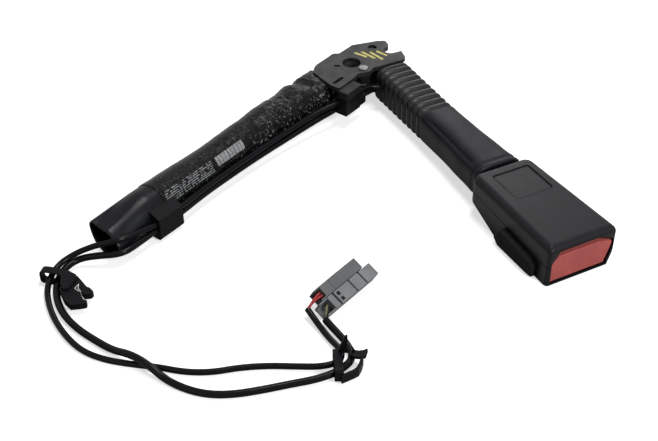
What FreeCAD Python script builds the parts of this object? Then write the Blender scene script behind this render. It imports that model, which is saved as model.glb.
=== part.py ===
import FreeCAD, Part
import math
import os
import Sketcher
from FreeCAD import Placement, Rotation, Vector

# Seat belt buckle with its pyrotechnic tensioner, lying as it is stored.
# Millimetres. The origin is the centre of the anchor bolt hole, in the middle
# of the upper plate. +X runs along the stalk to the mouth of the buckle,
# +Z runs up along the bolt. Inside each body the third coordinate is the
# height above the surface that the part lies on.

os.makedirs("parts", exist_ok=True)
doc = FreeCAD.newDocument("seat_belt_buckle")

SIZES = {
    # where things lie
    "rest_height": 26.5,
    "stalk_side": 22.9,
    "tube_turn": 65.6,
    "tube_side": -11.9,
    "rope_height": 12.5,
    "seat_gap": 0.3,
    # anchor bracket
    "plate_thickness": 3.0,
    "anchor_hole_radius": 6.25,
    "bush_radius": 7.4,
    "lower_plate_bottom": 4.4,
    "lower_plate_thickness": 2.6,
    "locating_hole_width": 2.4,
    "locating_hole_length": 4.6,
    "slot_width": 2.4,
    "slot_length": 10.4,
    "pin_hole_radius": 3.0,
    "notch_radius": 4.3,
    "rivet_radius": 2.0,
    "rivet_head_radius": 3.1,
    "rivet_head_height": 0.8,
    "rivet_tail_radius": 2.9,
    "rivet_tail_height": 16.4,
    "rivet_ear_bottom": 18.2,
    "rivet_ear_radius": 4.4,
    "foot_pin_radius": 2.4,
    "foot_radius": 4.6,
    "lug_thickness": 5.2,
    "lug_step": 1.0,
    "lug_width": 7.2,
    "lug_start": 16.5,
    "lug_end": 32.0,
    "lug_gap": 0.6,
    "plate_near_side": 12.9,
    # rope
    "rope_radius": 2.25,
    "rope_clearance": 0.35,
    "bend_radius": 20.0,
    # tensioner tube
    "tube_start": 27.0,
    "tube_end": 184.0,
    "tube_radius": 10.8,
    "tube_wall": 1.6,
    "spigot_end": 64.0,
    "crimp_depth": 0.9,
    "crimp_width": 2.4,
    "first_crimp": 37.5,
    "second_crimp": 58.5,
    "piston_start": 67.0,
    "piston_length": 17.0,
    "piston_clearance": 0.3,
    "seal_clearance": 0.05,
    "ball_radius": 1.5,
    "generator_radius": 4.2,
    "generator_start": 9.5,
    "generator_length": 16.0,
    "generator_side": 3.2,
    "plug_start": 8.6,
    "plug_end": 15.8,
    "plug_side": 8.6,
    "plug_nose_radius": 2.4,
    "wrap_start": 26.5,
    "wrap_end": 176.0,
    "wrap_film": 0.94,
    "sleeve_start": 168.0,
    "sleeve_end": 217.0,
    "sleeve_wall": 1.3,
    "sleeve_clearance": 0.01,
    # leads and their clips on the tube
    "switch_lead_radius": 1.7,
    "igniter_lead_radius": 2.0,
    "clip_start": 171.5,
    "clip_end": 190.5,
    # boot and neck
    "boot_start": 13.2,
    "boot_end": 70.0,
    "boot_ribs": 11,
    "boot_wall": 1.4,
    "boot_bottom": 2.4,
    "boot_top": 25.0,
    "neck_end": 139.6,
    "neck_wall": 2.2,
    # buckle head
    "head_back": 140.2,
    "head_front": 219.5,
    "head_top": 26.0,
    "head_wall": 1.8,
    "head_edge": 4.2,
    "parting_back": 15.6,
    "parting_front": 12.2,
    "panel_size": 25.0,
    "panel_depth": 0.5,
    "mouth_top": 22.3,
    # latch mechanism
    "frame_sheet": 1.5,
    "frame_back": 150.0,
    "frame_front": 206.0,
    "frame_width": 25.0,
    "frame_top": 24.0,
    "frame_bottom": 8.4,
    "tongue_bottom": 18.0,
    "button_travel": 6.0,
    "button_gap": 0.45,
    "button_plate": 4.2,
    "button_recess": 1.0,
    "axle_radius": 1.5,
    "axle_clearance": 0.05,
    "axle_x": 166.0,
    "axle_height": 12.5,
    "latch_width": 12.0,
    "hook_width": 5.0,
    "ejector_width": 19.0,
    "ejector_start": 176.0,
    "ejector_length": 22.0,
    "ejector_travel": 12.0,
    "spring_wire": 0.45,
    "left_spring": 6.2,
    "right_spring": 38.7,
    "ferrule_radius": 4.4,
    "ferrule_length": 9.0,
    # connectors
    "connector_width": 8.0,
    "connector_height": 7.4,
    "connector_roll": 28.0,
    "connector_turn": 112.8,
    "connector_a_length": 36.0,
    "connector_b_length": 43.0,
}

sheet = doc.addObject("Spreadsheet::Sheet", "sizes")
for row, (name, value) in enumerate(SIZES.items(), start=1):
    sheet.set(f"A{row}", name)
    sheet.set(f"B{row}", str(value))
    sheet.setAlias(f"B{row}", name)
doc.recompute()


def size(name):
    """The value of one cell of the sheet."""
    return float(getattr(sheet, name))


sub_parts = []


def keep(part, label, turned=False):
    """Gives a sub-part its label and place. A turned one lies along the tube."""
    part.Label = label
    angle = -size("tube_turn") if turned else 0.0
    part.Placement = Placement(Vector(0, 0, -size("rest_height")), Rotation(Vector(0, 0, 1), angle))
    part.setExpression("Placement.Base.z", "-sizes.rest_height")
    if turned:
        part.Placement = Placement(Vector(0, 0, -size("rest_height")), Rotation(Vector(0, 0, -1), -angle))
        part.setExpression("Placement.Rotation.Angle", "sizes.tube_turn")
    sub_parts.append(part)
    return part


def feature(label, shape, turned=False):
    """A sub-part whose shape comes from Part's own functions."""
    part = doc.addObject("Part::Feature", label)
    part.Shape = shape
    return keep(part, label, turned)


def new_body(label, turned=False):
    body = doc.addObject("PartDesign::Body", label)
    return keep(body, label, turned)


def base_plane(body, role):
    return next(item for item in body.Origin.OriginFeatures if item.Role == role)


def new_sketch(body, name, role="XY_Plane", offset=None):
    """A sketch on one of the body's own planes, moved along its normal by an expression."""
    sketch = body.newObject("Sketcher::SketchObject", name)
    sketch.AttachmentSupport = (base_plane(body, role), "")
    sketch.MapMode = "FlatFace"
    if offset is not None:
        sketch.setExpression("AttachmentOffset.Base.z", offset)
    return sketch


def bind(sketch, kind, geometry, point, value):
    """Fixes a point's distance from the sketch's origin, to a number or to an expression."""
    number = value if isinstance(value, (int, float)) else 1.0
    index = sketch.addConstraint(Sketcher.Constraint(kind, -1, 1, geometry, point, number))
    if not isinstance(value, (int, float)):
        sketch.setExpression(f"Constraints[{index}]", value)


def solve(value):
    """An expression's value, for the first guess of a sketch."""
    if isinstance(value, (int, float)):
        return float(value)
    return float(sheet.evalExpression(value.replace("sizes.", "")))


def polygon(sketch, points):
    """A closed outline whose corners are fixed by numbers or expressions."""
    corners = [Vector(solve(x), solve(y), 0) for x, y in points]
    first = sketch.GeometryCount
    count = len(corners)
    for i in range(count):
        sketch.addGeometry(Part.LineSegment(corners[i], corners[(i + 1) % count]), False)
    for i in range(count):
        following = first + (i + 1) % count
        sketch.addConstraint(Sketcher.Constraint("Coincident", first + i, 2, following, 1))
    for i, (x, y) in enumerate(points):
        bind(sketch, "DistanceX", first + i, 1, x)
        bind(sketch, "DistanceY", first + i, 1, y)


def circle(sketch, x, y, radius):
    index = sketch.addGeometry(Part.Circle(Vector(solve(x), solve(y), 0), Vector(0, 0, 1), solve(radius)),
                               False)
    bind(sketch, "DistanceX", index, 3, x)
    bind(sketch, "DistanceY", index, 3, y)
    constraint = sketch.addConstraint(Sketcher.Constraint("Radius", index, solve(radius)))
    if not isinstance(radius, (int, float)):
        sketch.setExpression(f"Constraints[{constraint}]", radius)


def grow(body, name, profile, at, length, role="XY_Plane"):
    """Adds a prism that starts at one plane and goes along its normal."""
    sketch = new_sketch(body, name + "_sketch", role, at)
    profile(sketch)
    pad = body.newObject("PartDesign::Pad", name)
    pad.Profile = sketch
    pad.setExpression("Length", length)
    doc.recompute()
    return pad


def carve(body, name, profile, at, length, role="XY_Plane"):
    """Cuts a prism that starts at one plane and goes along its normal."""
    before = body.Shape.Volume
    sketch = new_sketch(body, name + "_sketch", role, at)
    profile(sketch)
    pocket = body.newObject("PartDesign::Pocket", name)
    pocket.Profile = sketch
    pocket.Reversed = True
    pocket.setExpression("Length", length)
    doc.recompute()
    if body.Shape.Volume > before - 0.01:
        raise RuntimeError(f"{name} cuts nothing from {body.Label}")
    return pocket


def soften(body, name, chosen, radius, kind="PartDesign::Fillet"):
    """Rounds or chamfers the edges that the test picks by their middle and direction."""
    names = []
    for number, edge in enumerate(body.Tip.Shape.Edges, start=1):
        middle = edge.valueAt((edge.FirstParameter + edge.LastParameter) / 2)
        along = edge.tangentAt((edge.FirstParameter + edge.LastParameter) / 2)
        if chosen(middle, along):
            names.append(f"Edge{number}")
    base = body.Tip
    dressed = body.newObject(kind, name)
    dressed.Base = (base, names)
    dressed.setExpression("Radius" if kind.endswith("Fillet") else "Size", radius)
    doc.recompute()
    return dressed


def upright(along):
    return abs(along.z) > 0.99


def rectangle(x0, x1, y0, y1):
    return lambda sketch: polygon(sketch, [(x0, y0), (x1, y0), (x1, y1), (x0, y1)])


def outline(points):
    return lambda sketch: polygon(sketch, points)


def round_hole(x, y, radius):
    return lambda sketch: circle(sketch, x, y, radius)


def cylinder_between(start, end, radius):
    """A plain round bar between two points."""
    line = end - start
    return Part.makeCylinder(radius, line.Length, start, line)


turn = math.radians(size("tube_turn"))
ALONG = Vector(math.cos(turn), -math.sin(turn), 0)
ACROSS = Vector(math.sin(turn), math.cos(turn), 0)


def tube_point(along, side, height=0.0):
    """A point of the tube's own frame in the part's frame."""
    return ALONG * along + ACROSS * side + Vector(0, 0, height)


# Anchor bracket
UPPER_OUTLINE = [
    (-5.6, -25.1), (-1.4, -28.0), (17.6, -25.5), (24.6, -22.7), (18.4, -9.4), (14.3, -3.2),
    (15.0, 5.6), (12.4, 9.5), (12.4, 31.5), (10.4, 35.4), (1.9, 37.2), (1.7, 32.0),
    (-6.9, 32.0), (-9.5, 33.8), (-15.3, 34.6), (-17.5, 29.3), (-20.4, 11.6), (-14.6, -1.6),
    (-16.4, -5.1), (-8.4, -22.1),
]
LOWER_OUTLINE = [
    (-6.0, -19.0), (8.6, -19.0), (15.6, -10.0), (9.0, 4.0), (6.5, 12.5), (6.5, 27.0),
    (-7.0, 27.0), (-10.0, 29.0), (-15.5, 27.0), (-17.5, 13.0), (-14.0, -1.0), (-13.0, -8.0),
]
RIVET_AT = (9.8, 3.4)
FOOT_PIN_AT = (-11.6, 22.3)
NOTCH_AT = (-2.6, 31.3)
LOCATING_HOLE_AT = (-1.1, -10.3)
LOCATING_HOLE_ANGLE = 62.0
SLOT_AT = (15.5, -18.4)
SLOT_ANGLE = 114.4

upper_bottom = "sizes.rest_height - sizes.plate_thickness / 2"
upper_top = "sizes.rest_height + sizes.plate_thickness / 2"
lower_top = "sizes.lower_plate_bottom + sizes.lower_plate_thickness"


def long_hole(x, y, length, width, angle):
    """A slot outline whose ends are half-round, as straight sides and eight-sided ends."""
    def draw(sketch):
        radius = width / 2
        reach = length / 2 - radius
        turned = math.radians(angle)
        ends = []
        for end, first in ((1, -90), (-1, 90)):
            for step in range(5):
                a = math.radians(first + 45 * step)
                ends.append((end * reach + radius * math.cos(a), radius * math.sin(a)))
        points = []
        for u, v in ends:
            points.append((x + u * math.cos(turned) - v * math.sin(turned),
                           y + u * math.sin(turned) + v * math.cos(turned)))
        polygon(sketch, points)
    return draw


upper_plate = new_body("upper_plate")
grow(upper_plate, "plate", outline(UPPER_OUTLINE), upper_bottom, "sizes.plate_thickness")
soften(upper_plate, "plate_corners", lambda m, a: upright(a) and m.y < 36 and abs(m.y - 32) > 0.6, "1.6")
carve(upper_plate, "anchor_hole", round_hole(0, 0, "sizes.anchor_hole_radius"), upper_bottom,
      "sizes.plate_thickness")
carve(upper_plate, "notch", round_hole(*NOTCH_AT, "sizes.notch_radius"), upper_bottom,
      "sizes.plate_thickness")
carve(upper_plate, "rivet_hole", round_hole(*RIVET_AT, "sizes.rivet_radius"), upper_bottom,
      "sizes.plate_thickness")
carve(upper_plate, "pin_hole", round_hole(*FOOT_PIN_AT, "sizes.pin_hole_radius"), upper_bottom,
      "sizes.plate_thickness")
carve(upper_plate, "locating_hole",
      long_hole(*LOCATING_HOLE_AT, size("locating_hole_length"), size("locating_hole_width"),
                LOCATING_HOLE_ANGLE),
      upper_bottom, "sizes.plate_thickness")
carve(upper_plate, "slot", long_hole(*SLOT_AT, size("slot_length"), size("slot_width"), SLOT_ANGLE),
      upper_bottom, "sizes.plate_thickness")

lower_plate = new_body("lower_plate")
grow(lower_plate, "plate", outline(LOWER_OUTLINE), "sizes.lower_plate_bottom", "sizes.lower_plate_thickness")
soften(lower_plate, "plate_corners", lambda m, a: upright(a), "1.6")
carve(lower_plate, "anchor_hole", round_hole(0, 0, "sizes.anchor_hole_radius"), "sizes.lower_plate_bottom",
      "sizes.lower_plate_thickness")
carve(lower_plate, "pin_hole", round_hole(*FOOT_PIN_AT, "sizes.foot_pin_radius"), "sizes.lower_plate_bottom",
      "sizes.lower_plate_thickness")

anchor_bush = new_body("anchor_bush")
bush_length = f"({upper_bottom}) - ({lower_top})"
grow(anchor_bush, "barrel", round_hole(0, 0, "sizes.bush_radius"), lower_top, bush_length)
carve(anchor_bush, "bore", round_hole(0, 0, "sizes.anchor_hole_radius"), lower_top, bush_length)

# Rope line: along the tube, round the bend in the guide block, along the stalk
rope_height = size("rope_height")
stalk_side = size("stalk_side")
tube_side = size("tube_side")
tube_bore = size("tube_radius") - size("tube_wall")
bend_radius = size("bend_radius")
meet_along = (tube_side * ACROSS.y - stalk_side) / math.sin(turn)
meet = tube_point(meet_along, tube_side, rope_height)
tangent = bend_radius * math.tan((math.pi - turn) / 2)
bend_start = meet + ALONG * tangent
bend_end = meet + Vector(tangent, 0, 0)
bend_centre = bend_end - Vector(0, bend_radius, 0)
bend_middle = bend_centre + (meet - bend_centre).normalize() * bend_radius


def rope_line(start, end):
    """The rope's centre line between a point in the tube and a point on the stalk."""
    edges = [
        Part.LineSegment(start, bend_start).toShape(),
        Part.Arc(bend_start, bend_middle, bend_end).toShape(),
        Part.LineSegment(bend_end, end).toShape(),
    ]
    return Part.Wire(edges)


def swept(line, radius):
    """A round bar along a line of straight runs and tangent arcs."""
    start = line.OrderedVertexes[0].Point
    direction = line.OrderedEdges[0].tangentAt(line.OrderedEdges[0].FirstParameter)
    if (line.OrderedEdges[0].valueAt(line.OrderedEdges[0].FirstParameter) - start).Length > 1e-6:
        direction = line.OrderedEdges[0].tangentAt(line.OrderedEdges[0].LastParameter) * -1
    ring = Part.Wire(Part.makeCircle(radius, start, direction))
    return line.makePipeShell([ring], True, False)


# Guide block: a die casting between the plates, with the rope's channel,
# the spigot that the tube is crimped on and the lug that the lead clip grips
near_side = size("plug_side")
block_corners = [
    tube_point(24.0, -16.4), tube_point(24.0, 7.9), tube_point(14.0, near_side), tube_point(-3.0, near_side),
    Vector(8.6, 12.5), Vector(8.6, 26.6), Vector(-7.4, 26.6), Vector(-10.2, 28.3),
    Vector(-15.6, 26.6), Vector(-17.2, 13.0), Vector(-14.5, -0.5), Vector(-15.2, -6.0),
]
block_bottom = sheet.evalExpression(lower_top.replace("sizes.", ""))
block_top = sheet.evalExpression(upper_bottom.replace("sizes.", ""))
block_wire = Part.makePolygon(block_corners + block_corners[:1])
block = Part.Face(block_wire).extrude(Vector(0, 0, block_top - block_bottom))
block.translate(Vector(0, 0, block_bottom))
collar = cylinder_between(tube_point(22, tube_side, rope_height),
                          tube_point(size("tube_start"), tube_side, rope_height), size("tube_radius") - 1.2)
spigot = cylinder_between(tube_point(22, tube_side, rope_height),
                          tube_point(size("spigot_end"), tube_side, rope_height), tube_bore)
block = block.fuse([collar, spigot])

lug_top = size("rest_height") + size("plate_thickness") / 2 - size("lug_step")
lug_bottom = lug_top - size("lug_thickness")
lug_side = size("plate_near_side") + size("lug_gap")
lug = Part.makeBox(size("lug_end") - size("lug_start"), size("lug_width"), size("lug_thickness"),
                   Vector(size("lug_start"), lug_side, lug_bottom))
web = Part.makeBox(size("lug_end") - size("lug_start") - 9, lug_side - near_side + 3,
                   block_top - 1.2 - lug_bottom,
                   Vector(size("lug_start") + 1, near_side - 2.5, lug_bottom))
lug = lug.fuse(web)
lug.Placement = Placement(Vector(0, 0, 0), Rotation(Vector(0, 0, -1), size("tube_turn")))
ear_bottom = size("rivet_ear_bottom")
ear_radius = size("rivet_ear_radius")
rivet_ear = Part.makeCylinder(ear_radius, block_top - ear_bottom, Vector(*RIVET_AT, ear_bottom))
ear_web = Part.makeBox(9.0, 2 * ear_radius, block_top - ear_bottom,
                       Vector(RIVET_AT[0] - 9.0, RIVET_AT[1] - ear_radius, ear_bottom))
block = block.fuse([lug, rivet_ear, ear_web])

channel = swept(rope_line(tube_point(70, tube_side, rope_height), Vector(20, stalk_side, rope_height)),
                size("rope_radius") + size("rope_clearance"))
bush_seat = Part.makeCylinder(size("bush_radius"), 40)
rivet_seat = Part.makeCylinder(size("rivet_radius"), 40, Vector(*RIVET_AT, 0))
tail_space = Part.makeCylinder(size("rivet_tail_radius") + 0.1, ear_bottom, Vector(*RIVET_AT, 0))
pin_seat = Part.makeCylinder(size("foot_pin_radius"), 40, Vector(*FOOT_PIN_AT, 0))
notch_seat = Part.makeCylinder(size("notch_radius") + 0.3, 40, Vector(*NOTCH_AT, 0))
generator_seat = cylinder_between(tube_point(size("generator_start"), size("generator_side"), rope_height),
                                  tube_point(40, size("generator_side"), rope_height),
                                  size("generator_radius"))
nose_along = (size("plug_start") + size("plug_end")) / 2
nose = cylinder_between(tube_point(nose_along, size("generator_side"), rope_height),
                        tube_point(nose_along, size("plug_side"), rope_height), size("plug_nose_radius"))
crimps = []
for crimp in ("first_crimp", "second_crimp"):
    outer = cylinder_between(tube_point(size(crimp) - size("crimp_width") / 2, tube_side, rope_height),
                             tube_point(size(crimp) + size("crimp_width") / 2, tube_side, rope_height),
                             tube_bore + 1)
    inner = cylinder_between(tube_point(size(crimp) - size("crimp_width") / 2, tube_side, rope_height),
                             tube_point(size(crimp) + size("crimp_width") / 2, tube_side, rope_height),
                             tube_bore - size("crimp_depth"))
    crimps.append(outer.cut(inner))
spaces = [channel, bush_seat, rivet_seat, tail_space, pin_seat, notch_seat, generator_seat, nose]
block = block.cut(spaces + crimps)
feature("guide_block", block.removeSplitter())

# Gas generator in the block, and the plug of the lead that fires it
generator = cylinder_between(tube_point(size("generator_start"), size("generator_side"), rope_height),
                             tube_point(size("generator_start") + size("generator_length"),
                                        size("generator_side"), rope_height), size("generator_radius"))
feature("gas_generator", generator)
plug = Part.makeBox(size("plug_end") - size("plug_start"), 4.6, 6.0,
                    Vector(size("plug_start"), size("plug_side"), rope_height - 3.0))
plug.Placement = Placement(Vector(0, 0, 0), Rotation(Vector(0, 0, -1), size("tube_turn")))
feature("generator_plug", plug.fuse(nose).cut(generator))

# Fasteners of the bracket
rivet = new_body("bracket_rivet")
rivet_top = size("rest_height") + size("plate_thickness") / 2 + size("rivet_head_height")
grow(rivet, "shank", round_hole(*RIVET_AT, "sizes.rivet_radius"), "sizes.rivet_tail_height",
     f"{upper_top} - sizes.rivet_tail_height")
grow(rivet, "head", round_hole(*RIVET_AT, "sizes.rivet_head_radius"), upper_top, "sizes.rivet_head_height")
grow(rivet, "tail", round_hole(*RIVET_AT, "sizes.rivet_tail_radius"), "sizes.rivet_tail_height",
     "sizes.rivet_ear_bottom - sizes.rivet_tail_height")
soften(rivet, "head_edge", lambda m, a: m.z > rivet_top - 0.01, "0.4")

foot_pin = new_body("foot_pin")
grow(foot_pin, "foot", round_hole(*FOOT_PIN_AT, "sizes.foot_radius"), "0", "sizes.lower_plate_bottom")
grow(foot_pin, "shank", round_hole(*FOOT_PIN_AT, "sizes.foot_pin_radius"), "sizes.lower_plate_bottom",
     f"{upper_bottom} + 1.2 - sizes.lower_plate_bottom")
soften(foot_pin, "foot_edge", lambda m, a: m.z < 0.01, "0.8")

# Tensioner tube
tube = new_body("tensioner_tube", turned=True)
tube_profile = new_sketch(tube, "profile", "XZ_Plane", "-sizes.tube_side")
top = "sizes.rope_height + sizes.tube_radius"
bore = f"{top} - sizes.tube_wall"
points = [("sizes.tube_start", bore), ("sizes.tube_start", top)]
inner = []
for crimp in ("first_crimp", "second_crimp"):
    near = f"sizes.{crimp} - sizes.crimp_width / 2"
    far = f"sizes.{crimp} + sizes.crimp_width / 2"
    for edge, level in ((near, ""), (near, " - sizes.crimp_depth"), (far, " - sizes.crimp_depth"), (far, "")):
        points.append((edge, top + level))
        inner.append((edge, bore + level))
points += [("sizes.tube_end", top), ("sizes.tube_end", bore)] + inner[::-1]
polygon(tube_profile, points)
axis_line = tube_profile.addGeometry(
    Part.LineSegment(Vector(0, rope_height, 0), Vector(10, rope_height, 0)), True)
bind(tube_profile, "DistanceX", axis_line, 1, 0)
bind(tube_profile, "DistanceY", axis_line, 1, "sizes.rope_height")
bind(tube_profile, "DistanceX", axis_line, 2, 10)
bind(tube_profile, "DistanceY", axis_line, 2, "sizes.rope_height")
barrel = tube.newObject("PartDesign::Revolution", "barrel")
barrel.Profile = tube_profile
barrel.ReferenceAxis = (tube_profile, ["Axis0"])
barrel.Angle = 360
doc.recompute()


def turned_ring(profile, side, height):
    """A turned piece whose axis lies along the tube: its outline is along and radius."""
    face = Part.Face(Part.makePolygon([Vector(x, side, height + r) for x, r in profile + profile[:1]]))
    return face.revolve(Vector(0, side, height), Vector(1, 0, 0), 360)


# Piston, its seal and the balls that lock it after it has fired
piston_start = size("piston_start")
piston_end = piston_start + size("piston_length")
piston_radius = tube_bore - size("piston_clearance")
seal_radius = tube_bore - size("seal_clearance")
ball_radius = size("ball_radius")
ball_ring = piston_radius - ball_radius - 0.05
neck_radius = ball_ring - ball_radius - 0.05
rope_hole = size("rope_radius")
piston_outline = [
    (piston_start, rope_hole), (piston_start, piston_radius), (piston_start + 2.0, piston_radius),
    (piston_start + 2.0, seal_radius - 1.6), (piston_start + 4.2, seal_radius - 1.6),
    (piston_start + 4.2, piston_radius), (piston_start + 7.0, piston_radius),
    (piston_start + 7.0, neck_radius), (piston_start + 12.5, neck_radius),
    (piston_end - 2.0, piston_radius), (piston_end, piston_radius), (piston_end, rope_hole),
]
feature("piston", turned_ring(piston_outline, tube_side, rope_height), turned=True)
seal_outline = [
    (piston_start + 2.0, seal_radius - 1.6), (piston_start + 2.0, seal_radius),
    (piston_start + 4.2, seal_radius), (piston_start + 4.2, seal_radius - 1.6),
]
feature("piston_seal", turned_ring(seal_outline, tube_side, rope_height), turned=True)
balls = []
BALL_COUNT = 8
for i in range(BALL_COUNT):
    angle = 2 * math.pi * i / BALL_COUNT
    centre = Vector(piston_start + 9.2, tube_side + ball_ring * math.cos(angle),
                    rope_height + ball_ring * math.sin(angle))
    balls.append(Part.makeSphere(ball_radius, centre))
feature("lock_balls", Part.makeCompound(balls), turned=True)

# Rope: it goes through the piston into a swaged end, and ends in the ferrule in the head
frame_back = size("frame_back")
swage = [
    (piston_end, 0.0), (piston_end, 4.6), (piston_end + 6.0, 4.6), (piston_end + 8.0, 3.4),
    (piston_end + 8.0, 0.0),
]
feature("rope_swage", turned_ring(swage, tube_side, rope_height), turned=True)
rope = swept(rope_line(tube_point(piston_end, tube_side, rope_height),
                       Vector(frame_back + size("frame_sheet"), stalk_side, rope_height)),
                       size("rope_radius"))
feature("wire_rope", rope)


def closed_curve(points):
    """A smooth closed wire through a few points."""
    curve = Part.BSplineCurve()
    curve.interpolate(Points=points, PeriodicFlag=True)
    return Part.Wire(curve.toShape())


def rounded_section(x, low, high, bottom, top, power, shrink=0.0):
    """A rounded, squarish section across X, between two sides and two heights."""
    half_width = (high - low) / 2 - shrink
    half_height = (top - bottom) / 2 - shrink
    points = []
    for step in range(32):
        angle = 2 * math.pi * step / 32
        c = math.cos(angle)
        s = math.sin(angle)
        across = math.copysign(abs(c) ** (2 / power), c) * half_width
        up = math.copysign(abs(s) ** (2 / power), s) * half_height
        points.append(Vector(x, (low + high) / 2 + across, (bottom + top) / 2 + up))
    return closed_curve(points)


def loft(wires):
    return Part.makeLoft(wires, True, False)


# Wrap: shrunk over the tube, its crimps and the end of the bracket. Each row
# holds the place along the tube, how far the wrap stands out from the tube's
# left, right, underside and top, and how square the section is
wrap_film = size("wrap_film")
WRAP_SECTIONS = [
    (size("wrap_start"), -0.1, 7.3, 0.1, 1.3, 2.3), (32.0, 1.2, 7.1, 0.9, 3.3, 2.3),
    (38.0, 0.2, 6.1, 0.6, 2.7, 2.2),
    (47.0, 1.9, 5.5, 1.2, 4.7, 2.2), (58.0, 0.5, 4.1, 0.8, 3.5, 2.2), (72.0, 1.3, 2.9, 1.2, 4.1, 2.1),
    (96.0, 1.1, 1.7, 1.1, 2.3, 2.1), (130.0, 0.9, 1.1, 0.9, 1.1, 2.0),
    (size("wrap_end") - 10, wrap_film, wrap_film, wrap_film, wrap_film, 2.0),
    (size("wrap_end"), wrap_film, wrap_film, wrap_film, wrap_film, 2.0),
]


def wrap_section(x, left, right, below, above, power):
    """One section of the wrap round the tube."""
    radius = size("tube_radius")
    return rounded_section(x, tube_side - radius - left, tube_side + radius + right,
                           rope_height - radius - below, rope_height + radius + above, power)


wrap_wires = [wrap_section(*section) for section in WRAP_SECTIONS]
wrap = Part.makeLoft(wrap_wires, True, True)
tube_space = Part.makeCylinder(size("tube_radius"), 200, Vector(20, tube_side, rope_height), Vector(1, 0, 0))
feature("tube_wrap", wrap.cut(tube_space), turned=True)

# End sleeve: a thin moulding pushed over the wrapped tube, squeezed to two lobes
# at its mouth, whose points lie across and up from the tube's axis
MOUTH = [
    (-11.1, 3.9), (-8.7, 6.7), (-5.3, 6.1), (-0.9, 4.1), (3.3, 3.3), (8.1, 0.7), (11.4, -2.9),
    (12.4, -7.3), (9.3, -11.1), (3.9, -12.5), (-2.3, -12.2), (-7.5, -8.1), (-10.3, -1.9),
]
sleeve_start = size("sleeve_start")
sleeve_end = size("sleeve_end")
wrap_radius = size("tube_radius") + wrap_film + size("sleeve_clearance")
mouth_centre = (0.7, -2.7)


def sleeve_section(x, share, wall):
    """The sleeve's section between round, at share 0, and the squeezed mouth, at share 1."""
    points = []
    for side, height in MOUTH:
        dx = side - mouth_centre[0]
        dy = height - mouth_centre[1]
        reach = math.hypot(dx, dy)
        dx /= reach
        dy /= reach
        round_point = (dx * (wrap_radius + wall), dy * (wrap_radius + wall))
        thin = size("sleeve_wall") - wall
        squeezed = (side - dx * thin, height - dy * thin)
        points.append(Vector(x, tube_side + round_point[0] * (1 - share) + squeezed[0] * share,
                             rope_height + round_point[1] * (1 - share) + squeezed[1] * share))
    return closed_curve(points)


SLEEVE_STATIONS = ((0.0, 0.0), (0.3, 0.0), (0.4, 0.06), (0.6, 0.42), (0.8, 0.8), (1.0, 1.0))
outer_wires = []
inner_wires = []
clear_wires = []
for place, share in SLEEVE_STATIONS:
    x = sleeve_start + (sleeve_end - sleeve_start) * place
    outer_wires.append(sleeve_section(x, share, size("sleeve_wall")))
    inner_wires.append(sleeve_section(x, share, 0.0))
    clear_wires.append(sleeve_section(x, share, size("sleeve_wall") + 0.05))
sleeve = Part.makeLoft(outer_wires, True, True).cut(Part.makeLoft(inner_wires, True, True))
feature("end_sleeve", sleeve, turned=True)

# Leads that the clips hold along the tube, as points along, across and up
SWITCH_RUN = [
    (192.0, 3.7, 12.4), (170.0, 3.7, 12.4), (150.0, 2.2, 12.4), (124.0, 2.1, 12.6), (98.0, 2.8, 13.0),
    (76.0, 4.2, 13.8), (56.0, 6.2, 15.0), (42.0, 9.4, 16.6), (31.0, 13.4, 17.9), (17.0, 15.6, 18.1),
    (5.0, 16.8, 18.1), (-1.5, 22.0, 17.0), (-6.5, 28.5, 15.0),
]
IGNITER_RUN = [
    (192.0, 3.3, 8.0), (170.0, 3.3, 8.0), (150.0, 1.7, 8.1), (124.0, 1.7, 8.2), (98.0, 2.5, 8.4),
    (76.0, 4.3, 8.9), (56.0, 6.8, 10.2), (42.0, 9.8, 12.0), (31.0, 11.8, 12.6), (15.95, 11.0, 12.5),
]


def cord_line(points, label):
    """Straight runs joined by the largest tangent arcs that the runs allow."""
    edges = []
    here = points[0]
    radii = []
    for i in range(1, len(points) - 1):
        back = points[i - 1] - points[i]
        ahead = points[i + 1] - points[i]
        shorter = min(back.Length, ahead.Length)
        bend = math.pi - back.getAngle(ahead)
        cut = 0.45 * shorter
        radius = cut / math.tan(bend / 2)
        radii.append(radius)
        start = points[i] + back.normalize() * cut
        end = points[i] + ahead.normalize() * cut
        middle_way = (back + ahead).normalize()
        middle = points[i] + middle_way * (radius / math.cos(bend / 2) - radius)
        edges.append(Part.LineSegment(here, start).toShape())
        edges.append(Part.Arc(start, middle, end).toShape())
        here = end
    edges.append(Part.LineSegment(here, points[-1]).toShape())
    line = Part.Wire(edges)
    print(label, "length", round(line.Length, 1), "radii", [round(r) for r in radii])
    return line


def cord(label, points, radius):
    """A cord's plain tube along its route."""
    line = cord_line(points, label)
    solid = swept(line, radius)
    share = solid.Volume / (math.pi * radius ** 2 * line.Length)
    print(label, "volume share", round(share, 4))
    return feature(label, solid)


switch_lead_radius = size("switch_lead_radius")
igniter_lead_radius = size("igniter_lead_radius")
switch_run_points = [tube_point(*p) for p in SWITCH_RUN]
igniter_run_points = [tube_point(*p) for p in IGNITER_RUN]
cord("switch_lead_run", switch_run_points, switch_lead_radius)
cord("igniter_lead_run", igniter_run_points, igniter_lead_radius)

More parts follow.
